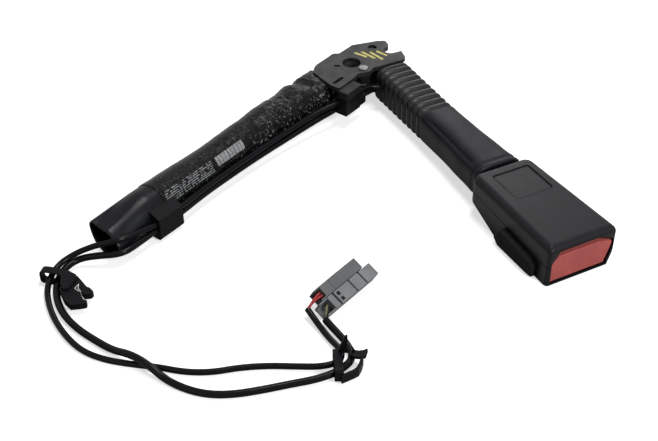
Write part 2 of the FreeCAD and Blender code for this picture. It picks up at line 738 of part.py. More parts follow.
# Lower clip: a block on the sleeve that both leads pass through
clip_start = size("clip_start")
clip_end = size("clip_end")
CLIP_SECTION = [(-3.6, 21.6), (0.4, 20.2), (6.6, 16.2), (6.9, 3.0), (5.6, 1.4), (-4.6, 1.4)]
clip_face = Part.Face(Part.makePolygon([Vector(clip_start, y, z)
                                        for y, z in CLIP_SECTION + CLIP_SECTION[:1]]))
clip = clip_face.extrude(Vector(clip_end - clip_start, 0, 0))
sleeve_space = Part.makeLoft(clear_wires, True, True)
switch_hole = Part.makeCylinder(switch_lead_radius + 0.02, 60, Vector(150, *SWITCH_RUN[0][1:]),
                                Vector(1, 0, 0))
igniter_hole = Part.makeCylinder(igniter_lead_radius + 0.02, 60, Vector(150, *IGNITER_RUN[0][1:]),
                                 Vector(1, 0, 0))
clip = clip.cut([sleeve_space, switch_hole, igniter_hole])
feature("lower_lead_clip", max(clip.Solids, key=lambda solid: solid.Volume), turned=True)

# Upper clip: it hooks on the lug of the guide block
upper_clip = Part.makeBox(15.0, 9.6, lug_bottom - 9.8, Vector(17.0, 10.4, 9.8))
tooth = Part.makeBox(6.0, 3.0, 5.2, Vector(11.0, 17.0, 10.8))
lip = Part.makeBox(14.0, 1.6, 3.2, Vector(17.4, lug_side + size("lug_width"), lug_bottom - 0.6))
upper_clip = upper_clip.fuse([tooth, lip])
upper_clip.Placement = Placement(Vector(0, 0, 0), Rotation(Vector(0, 0, -1), size("tube_turn")))
run_space = [swept(cord_line(switch_run_points, "clip passage"), switch_lead_radius + 0.02),
             swept(cord_line(igniter_run_points, "clip passage"), igniter_lead_radius + 0.02)]
upper_clip = upper_clip.cut(run_space + [block])
feature("upper_lead_clip", max(upper_clip.Solids, key=lambda solid: solid.Volume))

# Bellows boot, as tall and wide as the neck that it joins
boot_start = size("boot_start")
boot_end = size("boot_end")
boot_ribs = int(size("boot_ribs"))
rib_pitch = (boot_end - boot_start) / boot_ribs
boot_low = stalk_side - 12.6
boot_high = stalk_side + 13.4
BOOT_SECTION = (boot_low, boot_high, size("boot_bottom"), size("boot_top"), 4.2)


def boot_solid():
    """Ribs and valleys as one scalloped solid with a hollow inside."""
    rings = []
    for i in range(boot_ribs):
        x = boot_start + rib_pitch * i
        wires = []
        for place, shrink in ((0.0, 1.6), (0.28, 0.15), (0.72, 0.15), (1.0, 1.6)):
            wires.append(rounded_section(x + rib_pitch * place, *BOOT_SECTION, shrink))
        rings.append(Part.makeLoft(wires, True, True))
    outer = rings[0].fuse(rings[1:])
    hollow = loft([rounded_section(boot_start - 1, *BOOT_SECTION, 1.6 + size("boot_wall")),
                   rounded_section(boot_end + 1, *BOOT_SECTION, 1.6 + size("boot_wall"))])
    return outer.cut(hollow)


boot = boot_solid().cut(swept(cord_line(switch_run_points, "boot passage"), switch_lead_radius + 0.3))
feature("bellows_boot", max(boot.Solids, key=lambda solid: solid.Volume))

# Neck: a stiff hollow moulding between the boot and the head
neck_end = size("neck_end")
NECK_SECTIONS = [
    (0.0, -12.4, 13.4, 2.4, 25.2, 4.0), (0.35, -13.2, 14.2, 2.6, 25.6, 3.6),
    (0.75, -15.2, 15.2, 3.4, 26.0, 3.6), (1.0, -16.4, 15.8, 4.0, 26.3, 4.0),
]


def neck_wires(shrink, extra):
    wires = []
    for place, low, high, bottom, top_height, power in NECK_SECTIONS:
        x = boot_end + (neck_end - boot_end) * place
        if place in (0.0, 1.0):
            x += extra * (2 * place - 1)
        wires.append(rounded_section(x, stalk_side + low, stalk_side + high, bottom, top_height, power,
                                     shrink))
    return wires


neck = loft(neck_wires(0.0, 0.0)).cut(loft(neck_wires(size("neck_wall"), 0.5)))
feature("neck_sleeve", neck)

# Buckle head: two shells that meet at a sloping parting line
head_back = "sizes.head_back"
head_front = "sizes.head_front"
head_middle = (size("head_back") + size("head_front")) / 2
HEAD_PLAN = [
    (head_back, 1.9), (head_front, 0.9), (head_front, 47.0), (head_back, 42.8),
]
wall = "sizes.head_wall"
INNER_PLAN = [
    (f"{head_back} + {wall}", f"1.9 + {wall}"), (f"{head_front} - {wall}", f"0.9 + {wall}"),
    (f"{head_front} - {wall}", f"47.0 - {wall}"), (f"{head_back} + {wall}", f"42.8 - {wall}"),
]
OPENING = [(3.4, 0.9), (3.4, 15.0), (8.2, "sizes.mouth_top"), (36.0, "sizes.mouth_top"), (45.4, 17.6),
           (45.4, 13.0),
           (41.6, 0.9)]


def side_cut(points):
    """An outline in X and height, for cuts that go right across the head."""
    return lambda sketch: polygon(sketch, points)


upper_shell = new_body("upper_shell")
grow(upper_shell, "block", outline(HEAD_PLAN), "11.0", "sizes.head_top - 11.0")
soften(upper_shell, "back_corners", lambda m, a: upright(a) and m.x < head_middle, "6.0")
soften(upper_shell, "front_corners", lambda m, a: upright(a) and m.x > head_middle, "2.2")
soften(upper_shell, "top_edge", lambda m, a: m.z > size("head_top") - 0.01, "sizes.head_edge")
carve(upper_shell, "parting", side_cut([
    ("sizes.head_back - 1", 10.0), ("sizes.head_front + 1", 10.0),
    ("sizes.head_front + 1", "sizes.parting_front"),
    ("sizes.head_back - 1", "sizes.parting_back")]), "-60", "70", "XZ_Plane")
carve(upper_shell, "hollow", outline(INNER_PLAN), "10.0", f"sizes.head_top - {wall} - 10.0")
carve(upper_shell, "mouth", outline(OPENING), "sizes.head_front - 12", "14", "YZ_Plane")
carve(upper_shell, "rope_way", round_hole("sizes.stalk_side", "sizes.rope_height", "8.0"),
      "sizes.head_back - 1", "6",
      "YZ_Plane")
carve(upper_shell, "panel", rectangle(148.4, "148.4 + sizes.panel_size", 11.6, "11.6 + sizes.panel_size"),
      "sizes.head_top - sizes.panel_depth", "sizes.panel_depth + 1")

lower_shell = new_body("lower_shell")
grow(lower_shell, "block", outline(HEAD_PLAN), "0", "17.0")
soften(lower_shell, "back_corners", lambda m, a: upright(a) and m.x < head_middle, "6.0")
soften(lower_shell, "front_corners", lambda m, a: upright(a) and m.x > head_middle, "2.2")
carve(lower_shell, "parting", side_cut([
    ("sizes.head_back - 1", "sizes.parting_back"),
    ("sizes.head_front + 1", "sizes.parting_front"),
    ("sizes.head_front + 1", 18.0), ("sizes.head_back - 1", 18.0)]), "-60", "70", "XZ_Plane")
carve(lower_shell, "raked_bottom", side_cut([
    ("sizes.head_back - 1", -1.0), (168.0, -1.0), (168.0, 0.0), ("sizes.head_back - 1", 10.2)]), "-60",
    "70", "XZ_Plane")
carve(lower_shell, "chamfered_side", outline([(42.6, -0.1), (48.0, -0.1), (48.0, 13.0), (47.2, 13.0)]),
      "sizes.head_back - 1", "90", "YZ_Plane")
carve(lower_shell, "hollow", side_cut([
    (f"{head_back} + {wall}", 11.0), (169.0, wall), (f"{head_front} - {wall}", wall),
    (f"{head_front} - {wall}", 18.0),
    (f"{head_back} + {wall}", 18.0)]), "-41.0", "37.4", "XZ_Plane")
carve(lower_shell, "mouth", outline(OPENING), "sizes.head_front - 12", "14", "YZ_Plane")
carve(lower_shell, "rope_way", round_hole("sizes.stalk_side", "sizes.rope_height", "8.0"),
      "sizes.head_back - 1", "6",
      "YZ_Plane")

frame_low = "sizes.stalk_side - sizes.frame_width / 2"
frame_high = "sizes.stalk_side + sizes.frame_width / 2"

# Posts in the lower shell: under the latch frame, and behind the button springs
for name, low, high in (("left_rest", f"{frame_low}", f"{frame_low} + sizes.frame_sheet"),
                        ("right_rest", f"{frame_high} - sizes.frame_sheet", f"{frame_high}")):
    grow(lower_shell, name, rectangle(158.0, 174.0, low, high), "1.0", "sizes.frame_bottom - 1.0")
for name, low in (("left_seat", "sizes.left_spring - 1.8"), ("right_seat", "sizes.right_spring - 1.8")):
    grow(lower_shell, name, rectangle("sizes.frame_back + 5", "sizes.frame_back + 8", low, f"{low} + 3.6"),
         "5.0", "8.4")

# Felt pad on the left of the lower shell, against rattles
PAD = [(172.5, 4.0), (177.5, 12.2), (206.5, 10.6), (210.0, 7.6), (209.4, 0.6), (204.5, 0.2), (177.0, 0.2)]
pad_face = Part.Face(Part.makePolygon([Vector(x, 2.4, z) for x, z in PAD + PAD[:1]]))
pad = pad_face.extrude(Vector(0, -5.0, 0))
pad = pad.makeFillet(1.2, [edge for edge in pad.Edges if edge.BoundBox.YMax < -2.5])
shell_space = lower_shell.Shape.copy()
shell_space.translate(Vector(0, 0, size("rest_height")))
feature("felt_pad", pad.cut(shell_space))

# Latch frame: an upturned channel with a window for the hook
sheet_metal = "sizes.frame_sheet"
latch_frame = new_body("latch_frame")
grow(latch_frame, "channel", rectangle("sizes.frame_back", "sizes.frame_front", frame_low, frame_high),
     "sizes.frame_bottom", "sizes.frame_top - sizes.frame_bottom")
soften(latch_frame, "bends", lambda m, a: m.z > size("frame_top") - 0.01 and abs(a.x) > 0.9, sheet_metal)
carve(latch_frame, "inside", rectangle(f"sizes.frame_back + {sheet_metal}", "sizes.frame_front + 1",
                                       f"{frame_low} + {sheet_metal}", f"{frame_high} - {sheet_metal}"),
      "sizes.frame_bottom - 1", f"sizes.frame_top - {sheet_metal} - sizes.frame_bottom + 1")
carve(latch_frame, "hook_window", rectangle(184.0, 198.0, "sizes.stalk_side - 4", "sizes.stalk_side + 4"),
      "sizes.frame_top - 3", "4")
carve(latch_frame, "rope_hole", round_hole("sizes.stalk_side", "sizes.rope_height", "sizes.rope_radius"),
      "sizes.frame_back - 1", "4", "YZ_Plane")
carve(latch_frame, "axle_holes", round_hole("sizes.axle_x", "sizes.axle_height", "sizes.axle_radius"),
      "-60", "70", "XZ_Plane")
carve(latch_frame, "open_bottom", side_cut([
    (177.0, 5.0), (207.0, 5.0), (207.0, 14.0), (184.0, 14.0)]), "-60", "70", "XZ_Plane")

rope_ferrule = new_body("rope_ferrule")
grow(rope_ferrule, "barrel", round_hole("sizes.stalk_side", "sizes.rope_height", "sizes.ferrule_radius"),
     f"sizes.frame_back + {sheet_metal}", "sizes.ferrule_length", "YZ_Plane")

latch_axle = new_body("latch_axle")
grow(latch_axle, "pin", round_hole("sizes.axle_x", "sizes.axle_height", "sizes.axle_radius"),
     f"-({frame_high})", "sizes.frame_width", "XZ_Plane")

# Latch: an arm on the axle with a hook that rises into the window
latch = new_body("latch")
latch_low = "sizes.stalk_side - sizes.latch_width / 2"
LATCH_ARM = [(-2.8, -2.9), (2.8, -2.9), (16.0, -0.3), (28.0, 0.5), (28.0, 2.9), (15.0, 2.9), (2.8, 2.9),
             (-2.8, 2.9)]
LATCH_HOOK = [(22.6, 2.5), (28.0, 2.5), (28.0, 3.7), (26.4, 5.1), (22.6, 5.1)]


def from_axle(points):
    """An outline whose points are measured from the latch's axle."""
    return side_cut([(f"sizes.axle_x + {x}", f"sizes.axle_height + {h}") for x, h in points])


grow(latch, "arm", from_axle(LATCH_ARM), "-(sizes.stalk_side + sizes.latch_width / 2)", "sizes.latch_width",
     "XZ_Plane")
grow(latch, "hook", from_axle(LATCH_HOOK), "-(sizes.stalk_side + sizes.hook_width / 2)", "sizes.hook_width",
     "XZ_Plane")
carve(latch, "axle_hole", round_hole("sizes.axle_x", "sizes.axle_height",
                                     "sizes.axle_radius + sizes.axle_clearance"),
      "-60", "70", "XZ_Plane")

# Ejector: a forked slider that pushes the tongue out
ejector = new_body("ejector")
ejector_low = "sizes.stalk_side - sizes.ejector_width / 2"
ejector_high = "sizes.stalk_side + sizes.ejector_width / 2"
grow(ejector, "slider", rectangle("sizes.ejector_start", "sizes.ejector_start + sizes.ejector_length",
                                  ejector_low, ejector_high), "sizes.tongue_bottom + 0.3", "3.8")
carve(ejector, "fork", rectangle("sizes.ejector_start + 6", "sizes.ejector_start + sizes.ejector_length + 1",
                                 "sizes.stalk_side - 3.2", "sizes.stalk_side + 3.2"), "sizes.tongue_bottom",
                                 "6")

# Release button: a thick plate behind the mouth, with two arms that the springs push
button = new_body("release_button")
BUTTON_FACE = [
    (3.9, 1.4), (3.9, 13.8), (8.6, "sizes.tongue_bottom"), (35.6, "sizes.tongue_bottom"), (44.9, 15.6),
    (44.9, 12.8), (41.1, 1.4),
]
button_front = "sizes.head_front - sizes.button_recess"
grow(button, "face", outline(BUTTON_FACE), f"{button_front} - sizes.button_plate", "sizes.button_plate",
     "YZ_Plane")
soften(button, "face_edge", lambda m, a: m.x > size("head_front") - size("button_recess") - 0.01, "0.7")
for name, low in (("left_arm", "sizes.left_spring - 1.8"), ("right_arm", "sizes.right_spring - 1.8")):
    grow(button, name, rectangle("sizes.frame_back + 26", f"{button_front} - sizes.button_plate", low,
                                 f"{low} + 3.6"),
         "6.0", "8.0")


def coil(start, end, radius, turns, side, height):
    """A closed-end coil spring along X."""
    wire_radius = size("spring_wire")
    pitch = (end - start - 2 * wire_radius) / turns
    helix = Part.makeHelix(pitch, end - start - 2 * wire_radius, radius)
    ring = Part.Wire(Part.makeCircle(wire_radius, Vector(radius, 0, 0), Vector(0, 1, 0)))
    solid = Part.Wire(helix).makePipeShell([ring], True, True)
    where = Placement(Vector(start + wire_radius, side, height), Rotation(Vector(0, 1, 0), 90))
    return solid.transformed(where.toMatrix(), True)


spring_back = size("frame_back") + 8.0
arm_back = size("frame_back") + 26.0
feature("button_springs", Part.makeCompound([
    coil(spring_back, arm_back, 1.7, 9, size(side), 10.0) for side in ("left_spring", "right_spring")]))
feature("ejector_spring", coil(size("frame_back") + size("frame_sheet"), size("ejector_start"), 1.6, 12,
                               stalk_side, size("tongue_bottom") + 2.2))

# Switch that tells the car the belt is fastened
buckle_switch = new_body("buckle_switch")
grow(buckle_switch, "case", rectangle(172.0, 188.0, 16.5, 29.5), f"{wall} + 0.1", "5.4")
grow(buckle_switch, "lever", rectangle(176.0, 186.0, 21.0, 25.0), f"{wall} + 5.5", "0.8")

# Free leads: the switch lead and the thicker lead of the gas generator
SWITCH_LEAD = [
    tuple(switch_run_points[0]), (86.8, -186.5, 13.6), (88.8, -198.4, 14.8), (83.6, -209.0, 12.0),
    (80.9, -220.5, 8.6), (83.6, -232.0, 6.2), (94.0, -241.3, 3.4), (108.3, -244.8, 1.8), (123.0, -245.4, 1.7),
    (137.5, -243.8, 1.7), (150.5, -240.0, 1.7), (161.5, -232.0, 1.7), (170.5, -221.5, 1.7),
    (179.0, -210.0, 1.7),
    (188.6, -199.6, 1.7), (195.2, -187.5, 1.7), (198.6, -174.0, 1.7), (204.2, -160.5, 1.7),
    (212.0, -147.5, 1.9),
    (219.0, -136.5, 2.8), (220.2, -127.2, 3.4), (213.2, -122.6, 2.6), (202.5, -123.6, 1.8),
    (193.5, -124.0, 2.0),
    (185.4, -124.4, 3.2), (178.9, -125.0, 5.0),
]
IGNITER_LEAD = [
    tuple(igniter_run_points[0]), (88.9, -186.7, 8.0), (93.0, -197.4, 8.2), (86.6, -209.4, 7.0),
    (81.4, -218.5, 4.6),
    (84.6, -228.0, 4.0), (94.0, -235.8, 3.0), (106.5, -239.8, 2.0), (120.5, -240.0, 2.0),
    (134.0, -236.8, 2.0),
    (147.5, -231.0, 2.0), (158.0, -226.4, 3.0), (168.0, -221.0, 6.6), (178.0, -215.5, 6.2),
    (189.0, -210.4, 2.2),
    (199.8, -204.0, 2.0), (208.6, -195.5, 2.0), (214.4, -184.5, 2.0), (218.2, -171.0, 2.0),
    (221.2, -157.0, 2.0),
    (225.2, -143.0, 2.6), (226.2, -130.5, 3.6), (220.8, -119.8, 2.8), (209.0, -117.4, 2.0),
    (198.0, -118.2, 2.0),
    (188.8, -119.4, 2.8),
]
switch_points = [Vector(*p) for p in SWITCH_LEAD]
igniter_points = [Vector(*p) for p in IGNITER_LEAD]
switch_lead = cord("switch_lead", switch_points, switch_lead_radius)
igniter_lead = cord("igniter_lead", igniter_points, igniter_lead_radius)


def placed(shape, origin, angle, roll=0.0):
    """Puts a shape, built along X, at a point: first rolled about X, then turned about Z."""
    where = Placement(Vector(*origin), Rotation(Vector(0, 0, 1), angle)).multiply(
        Placement(Vector(0, 0, 0), Rotation(Vector(1, 0, 0), roll)))
    return shape.transformed(where.toMatrix(), True)


def band(width, reach, rise, wall):
    """A flat strap round a bundle, built along X, centred on the bundle."""
    outer = Part.makeBox(width, 2 * reach, 2 * rise, Vector(-width / 2, -reach, -rise))
    outer = outer.makeFillet(rise * 0.62,
                             [edge for edge in outer.Edges if abs(edge.BoundBox.XLength - width) < 1e-6])
    hole = Part.makeBox(width + 1, 2 * (reach - wall), 2 * (rise - wall),
                        Vector(-width / 2 - 0.5, wall - reach, wall - rise))
    hole = hole.makeFillet(rise * 0.5, [edge for edge in hole.Edges if edge.BoundBox.XLength > width + 0.9])
    return outer.cut(hole)


def plate_of(points, bottom, top_height):
    """A flat piece from its outline seen from above."""
    face = Part.Face(Part.makePolygon([Vector(x, y, bottom) for x, y in points + points[:1]]))
    return face.extrude(Vector(0, 0, top_height - bottom))


# Tie strap and edge clip on the leads, at the first bend
TIE_AT = (89.0, -235.6, 4.5)
tie_turn = -41.0
strap = placed(band(5.0, 7.2, 4.4, 0.9), TIE_AT, tie_turn)
tie_head = placed(Part.makeBox(6.0, 5.6, 8.0, Vector(-3.4, 7.2, -4.0)), TIE_AT, tie_turn)
feature("tie_strap", strap.fuse(tie_head))
EDGE_CLIP = [
    (110.5, -238.0), (116.0, -228.5), (118.8, -226.6), (116.6, -225.4), (114.2, -226.8), (109.4, -229.4),
    (103.4, -227.4), (110.4, -223.2), (112.6, -220.6), (99.6, -224.2), (96.4, -228.8), (98.6, -232.4),
]
edge_clip = plate_of(EDGE_CLIP, 0.4, 7.0).cut(tie_head)
feature("edge_clip", max(edge_clip.Solids, key=lambda solid: solid.Volume))
INSERT = [
    (103.4, -227.4), (109.4, -229.4), (114.2, -226.8), (113.9, -226.3), (109.4, -228.8), (104.8, -227.3),
    (110.1, -224.0), (109.8, -223.56),
]
feature("clip_insert", plate_of(INSERT, 1.2, 6.4))

# Harness clip with its fin and hook, at the fold of the leads
HARNESS_AT = (223.0, -130.2, 4.5)
ring = placed(band(4.4, 9.2, 4.4, 0.9), HARNESS_AT, 90.0)
fin = Part.Face(Part.makePolygon([Vector(217.2, -131.6, 8.8), Vector(221.6, -128.8, 8.8),
                                  Vector(218.6, -126.6, 19.0),
                                  Vector(217.2, -131.6, 8.8)])).extrude(Vector(1.3, 0.4, 0))
HOOK = [
    (232.1, -131.8), (234.6, -127.6), (234.4, -123.6), (231.6, -119.4), (226.4, -116.2), (225.8, -117.2),
    (230.8, -120.2), (233.2, -124.0), (233.4, -127.4), (231.2, -130.9),
]
BLADE = [(216.2, -117.9), (219.5, -111.6), (223.7, -113.8), (227.0, -116.3), (225.6, -118.6), (220.6, -121.4)]
harness_clip = ring.fuse([fin, plate_of(HOOK, 1.0, 6.2), plate_of(BLADE, 5.4, 6.4)])
feature("harness_clip", max(harness_clip.Solids, key=lambda solid: solid.Volume))

# Connectors: a pair that lies side by side, rolled over on one edge
CONNECTOR_AT = (180.9, -119.7, 0.0)
connector_width = size("connector_width")
connector_height = size("connector_height")
pair_gap = 0.4
a_start = -2.5
a_low = -2 * connector_width - pair_gap


def connector(start, low, length, slots):
    """A connector housing along X, with the window of its lock and its wire mouth."""
    case = Part.makeBox(length, connector_width, connector_height, Vector(start, low, 0))
    case = case.makeFillet(0.7, [edge for edge in case.Edges if abs(edge.BoundBox.XLength - length) < 1e-6])
    mouth = Part.makeBox(6.0, connector_width - 2.4, connector_height - 2.4,
                         Vector(start - 0.1, low + 1.2, 1.2))
    cuts = [mouth]
    for at, slot_length, slot_width, depth in slots:
        cuts.append(Part.makeBox(slot_length, slot_width, depth + 0.1,
                                 Vector(start + at, low + (connector_width - slot_width) / 2,
                                        connector_height - depth)))
    return case.cut(cuts)


roll = -size("connector_roll")
connector_turn = size("connector_turn")
housing_a = placed(connector(a_start, a_low, size("connector_a_length"),
                             [(9.0, 7.0, 3.2, 1.6), (22.0, 9.0, 4.6, 1.2)]),
                   CONNECTOR_AT, connector_turn, roll)
housing_b = placed(connector(0.0, -connector_width, size("connector_b_length"), [(12.0, 5.0, 3.0, 1.2),
                                                                                (30.0, 8.0, 4.2, 1.2)]),
                   CONNECTOR_AT, connector_turn, roll)


def wire(start, target, shift):
    """One thin wire from a sheath's end to the floor of a connector's mouth."""
    frame = Placement(Vector(*CONNECTOR_AT), Rotation(Vector(0, 0, 1), connector_turn)).multiply(
        Placement(Vector(0, 0, 0), Rotation(Vector(1, 0, 0), roll)))
    outside = frame.multVec(Vector(target[0] - 0.4, target[1] + shift[0], target[2] + shift[1]))
    inside = frame.multVec(Vector(target[0] + 5.9, target[1] + shift[0], target[2] + shift[1]))
    begin = start + Vector(0, 0, shift[1] * 0.8) + Vector(shift[0] * 0.4, shift[0] * 0.5, 0)
    line = Part.Wire([Part.LineSegment(begin, outside).toShape(),
                      Part.LineSegment(outside, inside).toShape()])
    ring_wire = Part.Wire(Part.makeCircle(0.55, begin, outside - begin))
    return line.makePipeShell([ring_wire], True, False, 2)


wires = []
for shift in ((-0.8, -0.7), (0.8, 0.7)):
    wires.append(wire(switch_points[-1], (a_start, a_low + connector_width / 2, connector_height / 2), shift))
    wires.append(wire(igniter_points[-1], (0.0, -connector_width / 2, connector_height / 2), shift))
lead_space = [swept(cord_line(switch_points[-3:], "end"), switch_lead_radius),
              swept(cord_line(igniter_points[-3:], "end"), igniter_lead_radius)]
wires = [max(piece.cut(lead_space).Solids, key=lambda solid: solid.Volume) for piece in wires]
feature("connector_a", housing_a)
feature("connector_b", housing_b)
feature("lead_wires", Part.makeCompound(wires))

# Checks, then one file for each sub-part
doc.recompute()
for item in doc.Objects:
    if "Invalid" in item.State or "Error" in item.State:
        raise RuntimeError(f"{item.Name} is not valid: {item.State}")
for part in sub_parts:
    shape = part.Shape
    if shape.isNull() or not shape.isValid() or not shape.Solids:
        raise RuntimeError(f"{part.Label} has no valid solid")
    print(part.Label, "solids", len(shape.Solids), "volume", round(shape.Volume))
for part in sub_parts:
    part.Shape.exportStep(f"parts/{part.Label}.step")
print("written", len(sub_parts))
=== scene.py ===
"""Looks of a seat belt buckle with its pyrotechnic tensioner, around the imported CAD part."""

from __future__ import annotations

import logging
import math
from collections.abc import Callable, Sequence
from dataclasses import dataclass, field
from enum import Enum

import bmesh
import bpy
from mathutils import Matrix, Vector, noise

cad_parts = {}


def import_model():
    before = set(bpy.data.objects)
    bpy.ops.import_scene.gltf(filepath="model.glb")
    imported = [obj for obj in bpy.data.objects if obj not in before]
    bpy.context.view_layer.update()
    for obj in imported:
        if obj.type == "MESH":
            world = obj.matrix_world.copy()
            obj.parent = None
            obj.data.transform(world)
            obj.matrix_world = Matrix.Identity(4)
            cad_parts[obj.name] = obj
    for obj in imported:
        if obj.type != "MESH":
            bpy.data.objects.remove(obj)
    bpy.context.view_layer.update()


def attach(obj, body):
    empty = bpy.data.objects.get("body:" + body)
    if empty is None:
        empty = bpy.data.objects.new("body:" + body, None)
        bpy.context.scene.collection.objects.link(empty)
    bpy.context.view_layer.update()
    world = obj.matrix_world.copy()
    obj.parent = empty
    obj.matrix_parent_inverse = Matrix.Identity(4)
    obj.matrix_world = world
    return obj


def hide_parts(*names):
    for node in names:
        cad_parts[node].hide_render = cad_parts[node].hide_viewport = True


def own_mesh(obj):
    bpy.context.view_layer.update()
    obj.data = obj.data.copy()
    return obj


log = logging.getLogger("buckle")

Pair = tuple[float, float]
Spot = tuple[float, float, float]
Colour = Spot
Outline = Sequence[Pair]
Path = Sequence[Spot]
Place = Callable[[float, int], Vector]
Piece = bpy.types.Object

MM = 0.001
REST_HEIGHT = 26.5
STALK_SIDE = 22.9
ROPE_HEIGHT = 12.5
PALE_DUST: Colour = (0.34, 0.34, 0.33)


def at(x: float, y: float, height: float) -> Vector:
    """A point in millimetres, with its height above the floor, in metres in the part's frame."""
    return Vector((x, y, height - REST_HEIGHT)) * MM


@dataclass(frozen=True)
class TubeLine:
    """The line of the tensioner tube, which turns off from the stalk."""

    turn: float = math.radians(65.6)
    side: float = -11.9

    def point(self, along: float, side: float, height: float) -> Vector:
        """A point along and beside the tube in millimetres, in metres in the part's frame."""
        c, s = math.cos(self.turn), math.sin(self.turn)
        return at(along * c + side * s, -along * s + side * c, height)


TUBE = TubeLine()


class Signal:
    """A shader socket that takes part in Python expressions."""

    def __init__(self, owner: Nodes, socket: bpy.types.NodeSocket) -> None:
        """Keeps a socket and the nodes that it belongs to."""
        self.owner = owner
        self.socket = socket

    def math(self, operation: str, *others: Signal | float) -> Signal:
        """The result of a Math node whose first value is this signal."""
        inputs = dict(enumerate((self, *others)))
        return self.owner.node("ShaderNodeMath", {"operation": operation}, inputs)

    def __add__(self, other: Signal | float) -> Signal:
        """The sum."""
        return self.math("ADD", other)

    __radd__ = __add__

    def __sub__(self, other: Signal | float) -> Signal:
        """The difference."""
        return self.math("SUBTRACT", other)

    def __rsub__(self, other: float) -> Signal:
        """The difference from a number."""
        return (self * -1.0) + other

    def __mul__(self, other: Signal | float) -> Signal:
        """The product."""
        return self.math("MULTIPLY", other)

    __rmul__ = __mul__

    def __truediv__(self, other: Signal | float) -> Signal:
        """The quotient."""
        return self.math("DIVIDE", other)

    def step(self, low: float, high: float) -> Signal:
        """A smooth step.

        Args:
            low: Where it is 0; it may be the larger one.
            high: Where it is 1.

        Returns:
            The step, from 0 to 1.
        """
        if low > high:
            return 1.0 - self.step(high, low)
        return self.owner.node("ShaderNodeMapRange", {"interpolation_type": "SMOOTHSTEP"},
                               {"Value": self, "From Min": low, "From Max": high})

    def band(self, low: float, high: float, soft: float) -> Signal:
        """One between low and high, nought outside, with soft ends."""
        return self.step(low - soft, low + soft) * self.step(high + soft, high - soft)

    def part(self, index: int) -> Signal:
        """One component of a vector, by its index."""
        return self.owner.node("ShaderNodeSeparateXYZ", {}, {0: self}, index)


class Nodes:
    """The nodes of a material or of the surround."""

    def __init__(self, tree: bpy.types.NodeTree) -> None:
        """Keeps the node tree."""
        self.tree = tree

    def node(self, kind: str, settings: dict, inputs: dict, output: int | str = 0) -> Signal:
        """Adds any node.

        Args:
            kind: The node's type.
            settings: Its properties, set before its sockets.
            inputs: Values or signals of its sockets, by name or index.
            output: Which result is wanted.

        Returns:
            That result.
        """
        made = self.tree.nodes.new(kind)
        for name, value in settings.items():
            setattr(made, name, value)
        for key, value in inputs.items():
            if isinstance(value, Signal):
                self.tree.links.new(value.socket, made.inputs[key])
            else:
                made.inputs[key].default_value = value
        return Signal(self, made.outputs[output])

    def rays(self, *kinds: str) -> Signal:
        """Tells some kinds of rays from the others.

        Args:
            kinds: Their names, such as Camera or Glossy.

        Returns:
            1 for those kinds and 0 for the others.
        """
        seen, *rest = (self.node("ShaderNodeLightPath", {}, {}, f"Is {kind} Ray") for kind in kinds)
        for other in rest:
            seen = seen.math("MAXIMUM", other)
        return seen


